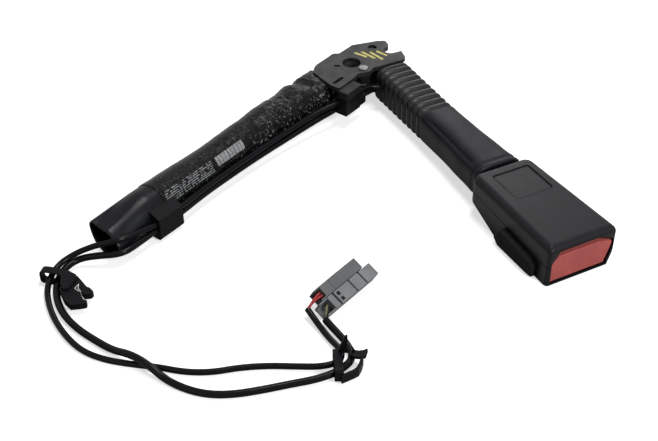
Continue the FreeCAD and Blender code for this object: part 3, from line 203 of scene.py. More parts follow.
class Finish(Nodes):
    """A material whose surface is made from nodes around one Principled shader."""

    def __init__(self, name: str) -> None:
        """Makes the material with an output and a Principled shader.

        Args:
            name: The material's name.
        """
        self.material = bpy.data.materials.new(name)
        self.material.use_nodes = True
        super().__init__(self.material.node_tree)
        self.tree.nodes.clear()
        self.shader = self.tree.nodes.new("ShaderNodeBsdfPrincipled")
        output = self.tree.nodes.new("ShaderNodeOutputMaterial")
        self.tree.links.new(self.shader.outputs[0], output.inputs[0])

    def point(self) -> Signal:
        """The place on the piece, in metres in the part's frame."""
        return self.node("ShaderNodeTexCoord", {}, {}, "Object")

    def lie(self) -> Signal:
        """The piece's own UV map."""
        return self.node("ShaderNodeTexCoord", {}, {}, "UV")

    def grain(self, size_mm: float, detail: float = 3.0, rough: float = 0.55, where: Signal | None = None,
              stretch: Spot = (1.0, 1.0, 1.0)) -> Signal:
        """A noise whose features have about this size.

        Args:
            size_mm: The size of its features.
            detail: Its octaves.
            rough: How strong the finer octaves are.
            where: The coordinates; the piece's own place if it is left out.
            stretch: How much each axis is squeezed.

        Returns:
            The noise, from 0 to 1.
        """
        spread = self.node("ShaderNodeMapping", {}, {"Vector": where or self.point(), "Scale": stretch})
        inputs = {"Vector": spread, "Scale": 1.0 / (size_mm * MM), "Detail": detail, "Roughness": rough}
        return self.node("ShaderNodeTexNoise", {}, inputs)

    def blend(self, share: Signal | float, first: Colour | Signal, second: Colour | Signal) -> Signal:
        """A colour between two colours, by the second one's share."""
        settings = {"data_type": "RGBA", "clamp_factor": True}
        return self.node("ShaderNodeMix", settings, {0: share, 6: opaque(first), 7: opaque(second)}, 2)

    def stroke(self, start: Vector, end: Vector, reach_mm: float, fray_mm: float) -> Signal:
        """A mask of a painted stroke seen from above, with frayed edges.

        Args:
            start: One end.
            end: The other end.
            reach_mm: Half the stroke's width.
            fray_mm: How far its edge wanders.

        Returns:
            The mask, from 0 to 1.
        """
        way = end - start
        flat = self.node("ShaderNodeVectorMath", {"operation": "SUBTRACT"}, {0: self.point(), 1: start})
        share = self.node("ShaderNodeVectorMath", {"operation": "DOT_PRODUCT"},
                          {0: flat, 1: way / way.length_squared}, "Value")
        share = share.math("MAXIMUM", 0.0).math("MINIMUM", 1.0)
        nearest = self.node("ShaderNodeVectorMath", {"operation": "SCALE"}, {0: way, 3: share})
        gap = self.node("ShaderNodeVectorMath", {"operation": "DISTANCE"}, {0: flat, 1: nearest}, "Value")
        ragged = gap + (self.grain(0.9) - 0.5) * (fray_mm * MM * 2.0)
        return ragged.step(reach_mm * MM, reach_mm * MM * 0.55)

    def bump(self, *heights: tuple[Signal, float]) -> None:
        """Sums heights, each with its depth in millimetres, into the normal.

        Args:
            heights: Pairs of a signal from 0 to 1 and its full depth.
        """
        total: Signal | float = 0.0
        for signal, depth_mm in heights:
            total = signal * (depth_mm * MM) + total
        normal = self.node("ShaderNodeBump", {}, {"Height": total, "Distance": 1.0, "Strength": 1.0})
        self.tree.links.new(normal.socket, self.shader.inputs["Normal"])

    def surface(self, **values: Signal | float | Colour) -> None:
        """Sets the shader's sockets.

        Args:
            values: Values or signals by the socket's name, with underscores for its spaces.
        """
        for name, value in values.items():
            socket = self.shader.inputs[name.replace("_", " ")]
            if isinstance(value, Signal):
                self.tree.links.new(value.socket, socket)
            else:
                socket.default_value = opaque(value) if isinstance(value, tuple) else value


def opaque(value: Colour | Signal) -> tuple[float, ...] | Signal:
    """A colour with full alpha; a signal is passed on."""
    return value if isinstance(value, Signal) else (*value, 1.0)


@dataclass(frozen=True)
class Moulded:
    """A moulded plastic with its tool grain, handling marks and dust."""

    name: str
    colour: Colour
    rough: float = 0.46
    grain_mm: float = 0.35
    depth_mm: float = 0.02
    dust: float = 0.25
    streak: float = 0.0
    sheen: float = 0.12

    def make(self) -> bpy.types.Material:
        """Builds the material.

        Returns:
            The material.
        """
        finish = Finish(self.name)
        fine = finish.grain(self.grain_mm, 2.0)
        broad = finish.grain(14.0, 3.0)
        rub = finish.grain(5.0, 4.0, 0.7, stretch=(0.35, 1.0, 1.0))
        shade = finish.blend(broad.step(0.3, 0.75), self.colour, tuple(c * 1.28 for c in self.colour))
        dust = finish.grain(0.8, 2.0).step(0.735, 0.80) * finish.grain(18.0).step(0.42, 0.6) * self.dust
        shade = finish.blend(dust, shade, PALE_DUST)
        rough = fine * 0.10 + rub.step(0.35, 0.75) * -0.07 + self.rough
        groove = self.groove(finish)
        finish.surface(Base_Color=shade, Roughness=groove * 0.4 + rough, Specular_IOR_Level=self.sheen)
        finish.bump((fine, self.depth_mm), (rub, self.streak), (groove, -0.35))
        return finish.material

    def groove(self, finish: Finish) -> Signal | float:
        """A mask of the grooves in the surface; a plain moulding has none."""
        return 0.0


@dataclass(frozen=True)
class PanelledShell(Moulded):
    """The head's shells, with the groove round the bare panel on top."""

    middle: Pair = (160.9, 24.1)
    half: float = 12.5
    corner: float = 2.0

    def groove(self, finish: Finish) -> Signal:
        """A mask of the rounded square groove.

        Args:
            finish: The finish being made.

        Returns:
            The mask, from 0 to 1.
        """
        place = finish.point()
        along, aside = ((place.part(i) / MM - self.middle[i]).math("ABSOLUTE") - (self.half - self.corner)
                        for i in (0, 1))
        over, beside = along.math("MAXIMUM", 0.0), aside.math("MAXIMUM", 0.0)
        inner = along.math("MAXIMUM", aside).math("MINIMUM", 0.0)
        reach = (over * over + beside * beside).math("SQRT") + inner - self.corner
        return reach.math("ABSOLUTE").step(0.55, 0.2) * place.part(2).step(-0.004, -0.003)


@dataclass(frozen=True)
class Plated:
    """Bare or plated steel with rolling marks, stains and scratches."""

    name: str
    colour: Colour
    stain: Colour
    rough: float = 0.42
    metal: float = 0.85
    scratch_mm: float = 0.012
    sheen: float = 0.5

    def make(self) -> bpy.types.Material:
        """The material."""
        return self.surface().material

    def surface(self) -> Finish:
        """The steel before anything is painted on it.

        Returns:
            The finish.
        """
        finish = Finish(self.name)
        patches = finish.grain(7.0, 4.0, 0.65)
        fine = finish.grain(0.5, 3.0)
        rolled = finish.grain(1.6, 3.0, 0.6, stretch=(0.12, 1.0, 1.0))
        lines = finish.grain(0.9, 2.0, 0.5, stretch=(1.0, 0.05, 1.0)).step(0.68, 0.76)
        shade = finish.blend(patches.step(0.38, 0.72), self.colour, self.stain)
        shade = finish.blend(lines * 0.35, shade, tuple(min(1.0, c * 1.7) for c in self.colour))
        finish.surface(Base_Color=shade, Metallic=self.metal, Specular_IOR_Level=self.sheen,
                       Roughness=patches * 0.16 + fine * 0.12 + (self.rough - 0.1) - lines * 0.08)
        finish.bump((rolled, self.scratch_mm), (fine, self.scratch_mm * 0.5))
        return finish


@dataclass(frozen=True)
class PaintedPlate(Plated):
    """The upper plate, with the dabs of yellow marking paint beside its hole."""

    paint: Colour = (0.62, 0.56, 0.16)
    reach_mm: float = 1.15
    fray_mm: float = 0.6
    height: float = 28.0
    dabs: Sequence[Outline] = (
        ((-9.8, 8.6), (-2.6, 12.4)), ((-8.6, 13.2), (1.6, 16.4)),
        ((-5.8, 18.0), (5.2, 20.4)), ((-4.8, 22.6), (2.2, 25.2)),
    )

    def make(self) -> bpy.types.Material:
        """Builds the material with its dabs.

        Returns:
            The material.
        """
        finish = self.surface()
        dabs: Signal | float = 0.0
        for ends in self.dabs:
            start, end = (at(x, y, self.height) for x, y in ends)
            dabs = finish.stroke(start, end, self.reach_mm, self.fray_mm).math("MAXIMUM", dabs)
        thin = dabs * finish.grain(0.7, 3.0, 0.7).step(0.26, 0.46)
        base = Signal(finish, finish.shader.inputs["Base Color"].links[0].from_socket)
        shade = finish.blend(thin * 0.85, base, self.paint)
        finish.surface(Base_Color=shade, Metallic=(1.0 - thin) * self.metal)
        return finish.material


@dataclass(frozen=True)
class Sheathing:
    """The soft extruded sheath of a lead."""

    name: str
    colour: Colour
    rough: float = 0.34

    def make(self) -> bpy.types.Material:
        """Builds the material.

        Returns:
            The material.
        """
        finish = Finish(self.name)
        fine = finish.grain(0.6, 3.0)
        broad = finish.grain(22.0, 3.0)
        scuff = finish.grain(2.4, 4.0, 0.7).step(0.62, 0.74)
        shade = finish.blend(broad.step(0.35, 0.7), self.colour, tuple(c * 1.5 for c in self.colour))
        shade = finish.blend(scuff * 0.012, shade, (0.2, 0.2, 0.2))
        finish.surface(Base_Color=shade, Roughness=fine * 0.10 + scuff * 0.12 + self.rough,
                       Specular_IOR_Level=0.09)
        finish.bump((fine, 0.012), (broad, 0.05))
        return finish.material


@dataclass(frozen=True)
class Film:
    """The shrunk film round the tube: glossy folds, dust in its pits and a worn generic print."""

    name: str = "shrunk_film"
    colour: Colour = (0.0022, 0.0023, 0.0028)
    fold: Colour = (0.0048, 0.0050, 0.0056)
    dust: Colour = (0.36, 0.37, 0.38)
    ink: Colour = (0.50, 0.51, 0.52)

    def make(self) -> bpy.types.Material:
        """Builds the material from the wrap's own map: u runs round from the underside, v along.

        Returns:
            The material.
        """
        finish = Finish(self.name)
        lie = finish.lie()
        u, v = lie.part(0), lie.part(1)
        broad = finish.grain(9.0, 4.0, 0.6)
        pits = finish.grain(1.9, 4.0, 0.75)
        crumbs = finish.grain(0.75, 2.0, 0.6)
        near = u.band(*WRAP.dusty, 0.10)
        upper = u.band(0.24, 0.60, 0.07)
        worn = near * (v.step(0.62, 0.30) * 0.7 + 0.3) * finish.grain(9.0, 3.0).step(0.36, 0.56)
        specks = pits.step(0.565, 0.63) * worn + crumbs.step(0.68, 0.73) * upper * 0.6
        bars, rules = self.print_masks(finish, u, v)
        shade = finish.blend(broad.step(0.35, 0.7), self.colour, self.fold)
        for mask, colour in ((specks * 0.8, self.dust), (rules * 0.72, self.dust), (bars * 0.85, self.ink)):
            shade = finish.blend(mask, shade, colour)
        rough = broad * 0.16 + specks * 0.35 + bars * 0.2 + 0.15
        finish.surface(Base_Color=shade, Roughness=rough, Specular_IOR_Level=0.11)
        finish.bump((broad, 0.35), (pits, 0.16), (crumbs, 0.03))
        return finish.material

    def print_masks(self, finish: Finish, u: Signal, v: Signal) -> tuple[Signal, Signal]:
        """The generic print: a strip of upright bars, and rows of worn dashes that spell nothing.

        Args:
            finish: The finish being made.
            u: The place round the wrap.
            v: The place along it.

        Returns:
            The masks of the bars and of the dashes.
        """
        wear = finish.grain(0.55, 3.0, 0.7).step(0.34, 0.52)
        box = v.band(*WRAP.bars, 0.002) * u.band(*WRAP.bar_reach, 0.004)
        stripes = (v * 148.0).math("FRACT").step(0.25, 0.45) * (v * 57.0).math("FRACT").step(0.14, 0.26)
        bars = box * (stripes * 0.75 + 0.25) * wear
        rows = (u * 58.0).math("FRACT").band(0.22, 0.72, 0.06)
        breaks = finish.grain(1.5, 1.0, 0.4, stretch=(1.0, 1.0, 0.2)).step(0.40, 0.52)
        block = v.band(*WRAP.rules, 0.003) * u.band(*WRAP.rule_reach, 0.004)
        return bars, block * rows * breaks * wear


@dataclass(frozen=True)
class Felt:
    """The needled felt of the pad against rattles."""

    name: str = "dark_felt"
    colour: Colour = (0.006, 0.006, 0.0065)

    def make(self) -> bpy.types.Material:
        """Builds the material.

        Returns:
            The material.
        """
        finish = Finish(self.name)
        fibre = finish.grain(0.35, 5.0, 0.8, stretch=(0.5, 1.0, 1.0))
        tufts = finish.grain(1.6, 4.0, 0.7)
        lint = finish.grain(0.5, 2.0).step(0.72, 0.78)
        shade = finish.blend(tufts.step(0.3, 0.7), self.colour, (0.018, 0.018, 0.019))
        shade = finish.blend(lint * 0.5, shade, (0.22, 0.22, 0.21))
        finish.surface(Base_Color=shade, Roughness=0.95, Sheen_Weight=0.06, Sheen_Roughness=0.6,
                       Specular_IOR_Level=0.1)
        finish.bump((fibre, 0.25), (tufts, 0.5))
        return finish.material


class Coat(Enum):
    """The finishes of the part's pieces, each with the name of its kind of material."""

    PLATE = ("plated_steel", PaintedPlate("phosphated_plate", (0.036, 0.0345, 0.0345), (0.020, 0.019, 0.0185),
                                          0.44, 0.35, sheen=0.14))
    STEEL = ("plated_steel", Plated("dull_steel", (0.13, 0.125, 0.12), (0.07, 0.065, 0.06), 0.44, 0.7))
    CASTING = ("cast_zinc", Plated("die_casting", (0.020, 0.0195, 0.0195), (0.012, 0.012, 0.012),
                                   0.5, 0.35, 0.03, 0.12))
    CAN = ("aluminium_can", Plated("drawn_can", (0.6, 0.6, 0.61), (0.45, 0.45, 0.45), 0.35, 1.0))
    RIVET = ("rivet_steel", Plated("bright_rivet", (0.24, 0.24, 0.235), (0.12, 0.12, 0.115),
                                   0.42, 0.5, sheen=0.3))
    TURNED = ("rope_steel", Plated("turned_steel", (0.42, 0.42, 0.42), (0.3, 0.3, 0.3), 0.34, 1.0))
    SPRING = ("spring_steel", Plated("spring_wire", (0.62, 0.62, 0.63), (0.5, 0.5, 0.5), 0.28, 1.0))
    BLACK = ("black_plastic", Moulded("black_clip", (0.006, 0.006, 0.007), 0.42, 0.5, 0.02, 0.2, sheen=0.045))
    SHELL = ("shell_plastic", PanelledShell("grained_shell", (0.0080, 0.0080, 0.0098), 0.33, 0.42, 0.03, 0.3,
                                            sheen=0.125))
    NECK = ("soft_plastic", Moulded("smooth_neck", (0.0085, 0.0085, 0.0108), 0.36, 0.5, 0.012, 0.2,
                                     sheen=0.075))
    SLEEVE = ("soft_plastic", Moulded("smooth_sleeve", (0.005, 0.0055, 0.007), 0.28, 0.6, 0.012, 0.15))
    BOOT = ("boot_rubber", Moulded("bellows_rubber", (0.0090, 0.0090, 0.0105), 0.31, 0.5, 0.02, 0.2,
                                     sheen=0.19))
    SEAL = ("seal_rubber", Moulded("turned_rubber", (0.02, 0.02, 0.02), 0.6))
    LEAD = ("lead_sheath", Sheathing("extruded_sheath", (0.0030, 0.0030, 0.0040), 0.13))
    WRAP = ("shrink_wrap", Film())
    FELT = ("felt", Felt())
    BUTTON = ("button_red", Moulded("red_button", (0.50, 0.115, 0.105), 0.42, 0.4, 0.025, 0.3))
    DARK = ("dark_connector", Moulded("dark_housing_plastic", (0.100, 0.102, 0.106), 0.45, 0.5, 0.02, 0.3))
    GREY = ("grey_connector", Moulded("grey_housing_plastic", (0.158, 0.163, 0.168), 0.42, 0.5, 0.02, 0.3))
    RED_WIRE = ("wire_insulation", Sheathing("red_wire", (0.26, 0.03, 0.03), 0.3))
    YELLOW_WIRE = ("wire_insulation", Sheathing("yellow_wire", (0.13, 0.125, 0.07), 0.3))
    BLACK_WIRE = ("wire_insulation", Sheathing("black_wire", (0.015, 0.015, 0.016), 0.3))

    def material(self) -> bpy.types.Material:
        """The finish's material, made once."""
        return bpy.data.materials.get(self.value[1].name) or self.value[1].make()


@dataclass(frozen=True)
class WrapMap:
    """Where things lie on the wrap's own map."""

    bars: Pair = (0.550, 0.70)
    bar_reach: Pair = (0.315, 0.395)
    rules: Pair = (0.725, 0.985)
    rule_reach: Pair = (0.29, 0.40)
    dusty: Pair = (0.12, 0.38)


WRAP = WrapMap()


class Form:
    """A mesh in the making, in metres in the part's frame."""

    def __init__(self) -> None:
        """Starts with nothing."""
        self.bm = bmesh.new()
        self.flats = False

    @classmethod
    def of_node(cls, node: str) -> Form:
        """A merged copy of a CAD node's mesh.

        Args:
            node: The node's name.

        Returns:
            The copy, with its flat faces joined.
        """
        form = cls()
        form.bm.from_mesh(bpy.data.objects[node].data)
        bmesh.ops.remove_doubles(form.bm, verts=form.bm.verts, dist=4e-6)
        bmesh.ops.dissolve_limit(form.bm, angle_limit=math.radians(0.5), use_dissolve_boundaries=False,
                                 verts=form.bm.verts, edges=form.bm.edges)
        return form

    def skin(self, around: int, stations: int, place: Place, closed_ends: bool = False) -> Form:
        """A closed skin round a line: a grid whose two sides meet.

        Args:
            around: How many points go round.
            stations: How many sections there are.
            place: The point at a share of the way round, in a section.
            closed_ends: Whether the two ends are filled.

        Returns:
            The form itself.
        """
        self.bm.loops.layers.uv.new("lie")
        grid = bmesh.ops.create_grid(self.bm, x_segments=around, y_segments=stations - 1, size=0.5,
                                     calc_uvs=True)
        for vert in grid["verts"]:
            vert.co = place(vert.co.x + 0.5, round((vert.co.y + 0.5) * (stations - 1)))
        bmesh.ops.remove_doubles(self.bm, verts=self.bm.verts, dist=1e-6)
        return self.filled() if closed_ends else self.face_out()

    def rims(self) -> list[bmesh.types.BMEdge]:
        """The edges of the open rims."""
        return [edge for edge in self.bm.edges if edge.is_boundary]

    def face_out(self) -> Form:
        """Turns every face outwards."""
        bmesh.ops.recalc_face_normals(self.bm, faces=self.bm.faces)
        return self

    def filled(self) -> Form:
        """Fills the open rims."""
        bmesh.ops.holes_fill(self.bm, edges=self.rims(), sides=0)
        return self.face_out()

    def bridged(self) -> Form:
        """Joins the two open rims of a skin that goes out along a wall and back."""
        bmesh.ops.bridge_loops(self.bm, edges=self.rims())
        return self.face_out()

    def prism(self, outline: Sequence[Vector], push: Vector) -> Form:
        """Adds a closed outline that is drawn out along a vector.

        Args:
            outline: Its points.
            push: How far it is drawn out.

        Returns:
            The form itself.
        """
        base = self.bm.faces.new([self.bm.verts.new(point) for point in outline])
        drawn = bmesh.ops.extrude_face_region(self.bm, geom=[base])
        tips = [item for item in drawn["geom"] if isinstance(item, bmesh.types.BMVert)]
        bmesh.ops.translate(self.bm, verts=tips, vec=push)
        return self.face_out()

    def slab(self, outline: Outline, low: float, high: float) -> Form:
        """Adds a flat plate from its outline seen from above, between two heights."""
        return self.prism([at(x, y, low) for x, y in outline], Vector((0.0, 0.0, (high - low) * MM)))

    def soften(self, width_mm: float, angle: float = 28.0, segments: int = 2) -> Form:
        """Bevels every sharp edge.

        Args:
            width_mm: The bevel's width.
            angle: The angle above which an edge is sharp.
            segments: How many strips make the bevel.

        Returns:
            The form itself.
        """
        limit = math.radians(angle)
        sharp = [edge for edge in self.bm.edges if edge.is_manifold and edge.calc_face_angle() > limit]
        bmesh.ops.bevel(self.bm, geom=sharp, offset=width_mm * MM, segments=segments, profile=0.5,
                        material=-1, affect="EDGES", clamp_overlap=True)
        self.flats = True
        return self

    def corner_normals(self) -> list[Vector]:
        """Normals weighed by the faces' sizes, so that flats stay flat beside their softened edges.

        Returns:
            A normal for each corner of each face, in their order.
        """
        self.bm.normal_update()
        weights = {face.index: face.normal * face.calc_area() for face in self.bm.faces}
        return [self.fan_normal(loop, weights) for face in self.bm.faces for loop in face.loops]

    @staticmethod
    def fan_normal(loop: bmesh.types.BMLoop, weights: dict[int, Vector]) -> Vector:
        """The weighed normal of the faces that meet smoothly at a corner.

        Args:
            loop: The corner.
            weights: Each face's normal times its area, by the face's index.

        Returns:
            The normal.
        """
        total = weights[loop.face.index].copy()
        spoke = loop
        while spoke.edge.smooth and spoke.edge.is_manifold:
            spoke = spoke.link_loop_radial_next.link_loop_next
            if spoke.face is loop.face:
                break
            total += weights[spoke.face.index]
        else:
            spoke = loop
            while spoke.link_loop_prev.edge.smooth and spoke.link_loop_prev.edge.is_manifold:
                spoke = spoke.link_loop_prev.link_loop_radial_next
                if spoke.face is loop.face:
                    break
                total += weights[spoke.face.index]
        return total.normalized() if total.length > 0 else loop.face.normal

    def piece(self, name: str, coat: Coat, body: str, *nodes: str, crease: float = 40.0) -> Piece:
        """Finishes the mesh as a piece that rides on a body.

        Args:
            name: The piece's name.
            coat: Its finish.
            body: The body that it rides on.
            nodes: The CAD nodes that it replaces.
            crease: The angle above which an edge stays sharp.

        Returns:
            The object.
        """
        for face in self.bm.faces:
            face.smooth = True
        for edge in self.bm.edges:
            edge.smooth = not edge.is_manifold or edge.calc_face_angle() < math.radians(crease)
        self.bm.faces.index_update()
        normals = self.corner_normals() if self.flats else []
        mesh = bpy.data.meshes.new(name)
        self.bm.to_mesh(mesh)
        self.bm.free()
        if normals:
            mesh.normals_split_custom_set(normals)
        return settle(bpy.data.objects.new(name, mesh), coat, body, *nodes)


def settle(thing: Piece, coat: Coat, body: str, *nodes: str) -> Piece:
    """Links a new object, dresses it and makes it ride.

    Args:
        thing: The new object.
        coat: Its finish.
        body: The body that it rides on.
        nodes: The CAD nodes that it replaces.

    Returns:
        The object.
    """
    bpy.context.scene.collection.objects.link(thing)
    thing.data.materials.append(coat.material())
    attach(thing, body)
    if nodes:
        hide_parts(*nodes)
    log.info("%s rides on %s", thing.name, body)
    return thing


def cable(name: str, coat: Coat, points: Sequence[Vector], radius: float, *nodes: str,
          resolution: tuple[int, int] = (14, 5)) -> Piece:
    """A smooth curve with a round section.

    Args:
        name: The piece's name.
        coat: Its finish.
        points: Its control points.
        radius: Its radius in millimetres.
        nodes: The CAD nodes that it replaces.
        resolution: How finely it is divided along and round.

    Returns:
        The piece.
    """
    curve = bpy.data.curves.new(name, "CURVE")
    curve.dimensions = "3D"
    curve.bevel_depth = radius * MM
    curve.resolution_u, curve.bevel_resolution = resolution
    curve.use_fill_caps = True
    spline = curve.splines.new("NURBS")
    spline.points.add(len(points) - 1)
    for knot, point in zip(spline.points, points):
        knot.co = (*point, 1.0)
    spline.order_u = 3
    spline.use_endpoint_u = True
    return settle(bpy.data.objects.new(name, curve), coat, "anchor", *nodes)


def dress_node(node: str, coat: Coat) -> None:
    """Gives a CAD node that stays its material.

    Args:
        node: The node.
        coat: Its finish.
    """
    target = bpy.data.objects[node]
    target.data.materials.clear()
    target.data.materials.append(coat.material())
    log.info("%s keeps its CAD shape", node)


def round_section(share: float, half_width: float, half_height: float, power: float) -> Pair:
    """A point of a rounded, squarish section.

    Args:
        share: The share of the way round, from the underside.
        half_width: Half its width.
        half_height: Half its height.
        power: 2 for an ellipse, more for a squarer one.

    Returns:
        How far across and up the point lies from the section's middle.
    """
    angle = 2 * math.pi * share - math.pi / 2
    c, s = math.cos(angle), math.sin(angle)
    return (math.copysign(abs(c) ** (2 / power), c) * half_width,
            math.copysign(abs(s) ** (2 / power), s) * half_height)


def out_and_back(station: int, steps: int) -> tuple[bool, int]:
    """Whether a station lies on the outside of a thin wall, and its step along the wall."""
    return station < steps, min(station, 2 * steps - 1 - station)


def between(table: Sequence[tuple[float, ...]], x: float) -> tuple[float, ...]:
    """Values between the rows of a table, eased from row to row.

    Args:
        table: The rows, whose first column rises.
        x: The place in the first column.

    Returns:
        The other columns there.
    """
    if x <= table[0][0]:
        return table[0][1:]
    for low, high in zip(table, table[1:]):
        if x <= high[0]:
            t = (x - low[0]) / (high[0] - low[0])
            t = t * t * (3 - 2 * t)
            return tuple(a + (b - a) * t for a, b in zip(low[1:], high[1:]))
    return table[-1][1:]


@dataclass
class Camera:
    """The camera of the photograph."""

    place: Vector = field(default_factory=lambda: Vector((0.59832, -0.33501, 0.40446)))
    target: Vector = field(default_factory=lambda: Vector((0.11128, -0.07605, -0.0265)))
    focal: float = 65.1

    def build(self) -> Piece:
        """Makes the scene's camera.

        Returns:
            The camera.
        """
        data = bpy.data.cameras.new("photo_camera")
        data.lens = self.focal
        data.sensor_fit = "HORIZONTAL"
        data.sensor_width = 36.0
        camera = bpy.data.objects.new("photo_camera", data)
        camera.location = self.place
        camera.rotation_euler = (self.target - self.place).to_track_quat("-Z", "Y").to_euler()
        bpy.context.scene.collection.objects.link(camera)
        bpy.context.scene.camera = camera
        return camera


@dataclass
class Connectors:
    """The two housings that are clipped together and lie rolled over on one edge."""

    origin: Spot = (180.2, -121.5, 3.8)
    turn: float = math.radians(113.3)
    roll: float = math.radians(28.0)
    wall: float = 0.8
    wall_tops: Pair = (7.2, 6.4)
    edge: float = 0.22
    wire_radius: float = 0.7
    wire_bow: float = 1.2
    front: Outline = (
        (0.0, 0.0), (43.0, 0.0), (43.0, 7.4), (33.3, 7.4), (33.3, 6.2), (31.9, 6.2), (31.9, 7.4),
        (24.9, 7.4), (24.9, 6.2), (23.5, 6.2), (23.5, 7.4), (11.6, 7.4), (11.6, 5.6), (10.0, 5.6),
        (10.0, 7.4), (6.2, 7.4), (6.2, 1.2), (0.0, 1.2),
    )
    rear: Outline = (
        (3.5, 0.0), (37.8, 0.0), (37.8, 7.4), (14.6, 7.4), (14.6, 7.0), (7.4, 7.0), (7.4, 1.2), (3.5, 1.2),
    )

    def spot(self, x: float, y: float, z: float) -> Vector:
        """A point of the housings' own frame in millimetres, in metres in the part's frame."""
        frame = Matrix.Rotation(self.turn, 3, "Z") @ Matrix.Rotation(self.roll, 3, "X")
        return at(*self.origin) + frame @ Vector((x, y, z)) * MM

    def across(self, form: Form, outline: Outline, low: float, high: float) -> None:
        """Adds an outline seen from the side, drawn out across the housings."""
        push = self.spot(0.0, high, 0.0) - self.spot(0.0, low, 0.0)
        form.prism([self.spot(x, low, z) for x, z in outline], push)

    def housing(self, name: str, node: str, coat: Coat, outline: Outline,
                low: float, high: float, pocket: float) -> Piece:
        """One housing with thin walls beside its open wire pocket.

        Args:
            name: The piece's name.
            node: The CAD node that it replaces.
            coat: Its finish.
            outline: Its side, along and up.
            low: Its nearer side across.
            high: Its farther side across.
            pocket: The length of the pocket.

        Returns:
            The piece.
        """
        form = Form()
        self.across(form, outline, low, high)
        start, (top, end_top) = outline[0][0], self.wall_tops
        for wall in (low, high - self.wall):
            side = ((start, 0.0), (start + pocket, 0.0), (start + pocket, top), (start, end_top))
            self.across(form, side, wall, wall + self.wall)
        return form.soften(self.edge).piece(name, coat, "anchor", node)

    def wire(self, name: str, coat: Coat, start: Vector, end: Vector, *nodes: str) -> Piece:
        """A thin wire that bows a little from a lead's end into a pocket.

        Args:
            name: The piece's name.
            coat: Its finish.
            start: Its start in the lead.
            end: Its end in the pocket.
            nodes: The CAD nodes that it replaces.

        Returns:
            The piece.
        """
        lift = Vector((0.0, 0.0, self.wire_bow * MM))
        points = (start, start.lerp(end, 0.35) + lift, start.lerp(end, 0.75) + lift, end)
        return cable(name, coat, points, self.wire_radius, *nodes, resolution=(12, 4))

    def shade_in_windows(self) -> list[Piece]:
        """Two flat near-black patches on the front housing's top, painted shade that stands in for the dark
        insides of its contact windows.

        Returns:
            The pieces.
        """
        made = []
        for count, low in enumerate((-6.9, -3.3), start=1):
            form = Form()
            # painted shade: a thin slab in the felt's near-black finish, laid where the window's opening lies
            # in shade
            self.across(form, ((12.7, 6.9), (14.9, 6.9), (14.9, 7.43), (12.7, 7.43)), low, low + 2.2)
            made.append(form.piece(f"contact_window_{count}", Coat.FELT, "anchor"))
        return made

    def build(self, switch_end: Vector, igniter_end: Vector) -> tuple[list[Piece], list[Piece]]:
        """Makes the housings and their wires.

        Args:
            switch_end: The end of the switch's lead.
            igniter_end: The end of the igniter's lead.

        Returns:
            What hangs on the switch's lead, and what hangs on the igniter's.
        """
        rear = self.housing("dark_housing", "connector_a", Coat.DARK, self.rear, 0.3, 7.4, 3.9)
        front = self.housing("grey_housing", "connector_b", Coat.GREY, self.front, -8.0, 0.0, 6.2)
        red = [self.wire("wire_ends", Coat.RED_WIRE, switch_end, self.spot(7.0, 2.6, 4.6), "lead_wires"),
               self.wire("wire_ends_beside", Coat.RED_WIRE, switch_end + Vector((0.8, 0.3, 0.6)) * MM,
                         self.spot(7.0, 4.6, 4.4))]
        dark = [self.wire("black_wire_ends", Coat.BLACK_WIRE, igniter_end, self.spot(5.8, -5.2, 3.4)),
                self.wire("yellow_wire_ends", Coat.YELLOW_WIRE, igniter_end + Vector((-0.8, 0.6, 0.5)) * MM,
                          self.spot(5.8, -2.8, 3.4))]
        # the front housing carries the two patches of painted shade over its contact windows
        return [rear, *red], [front, *dark, *self.shade_in_windows()]


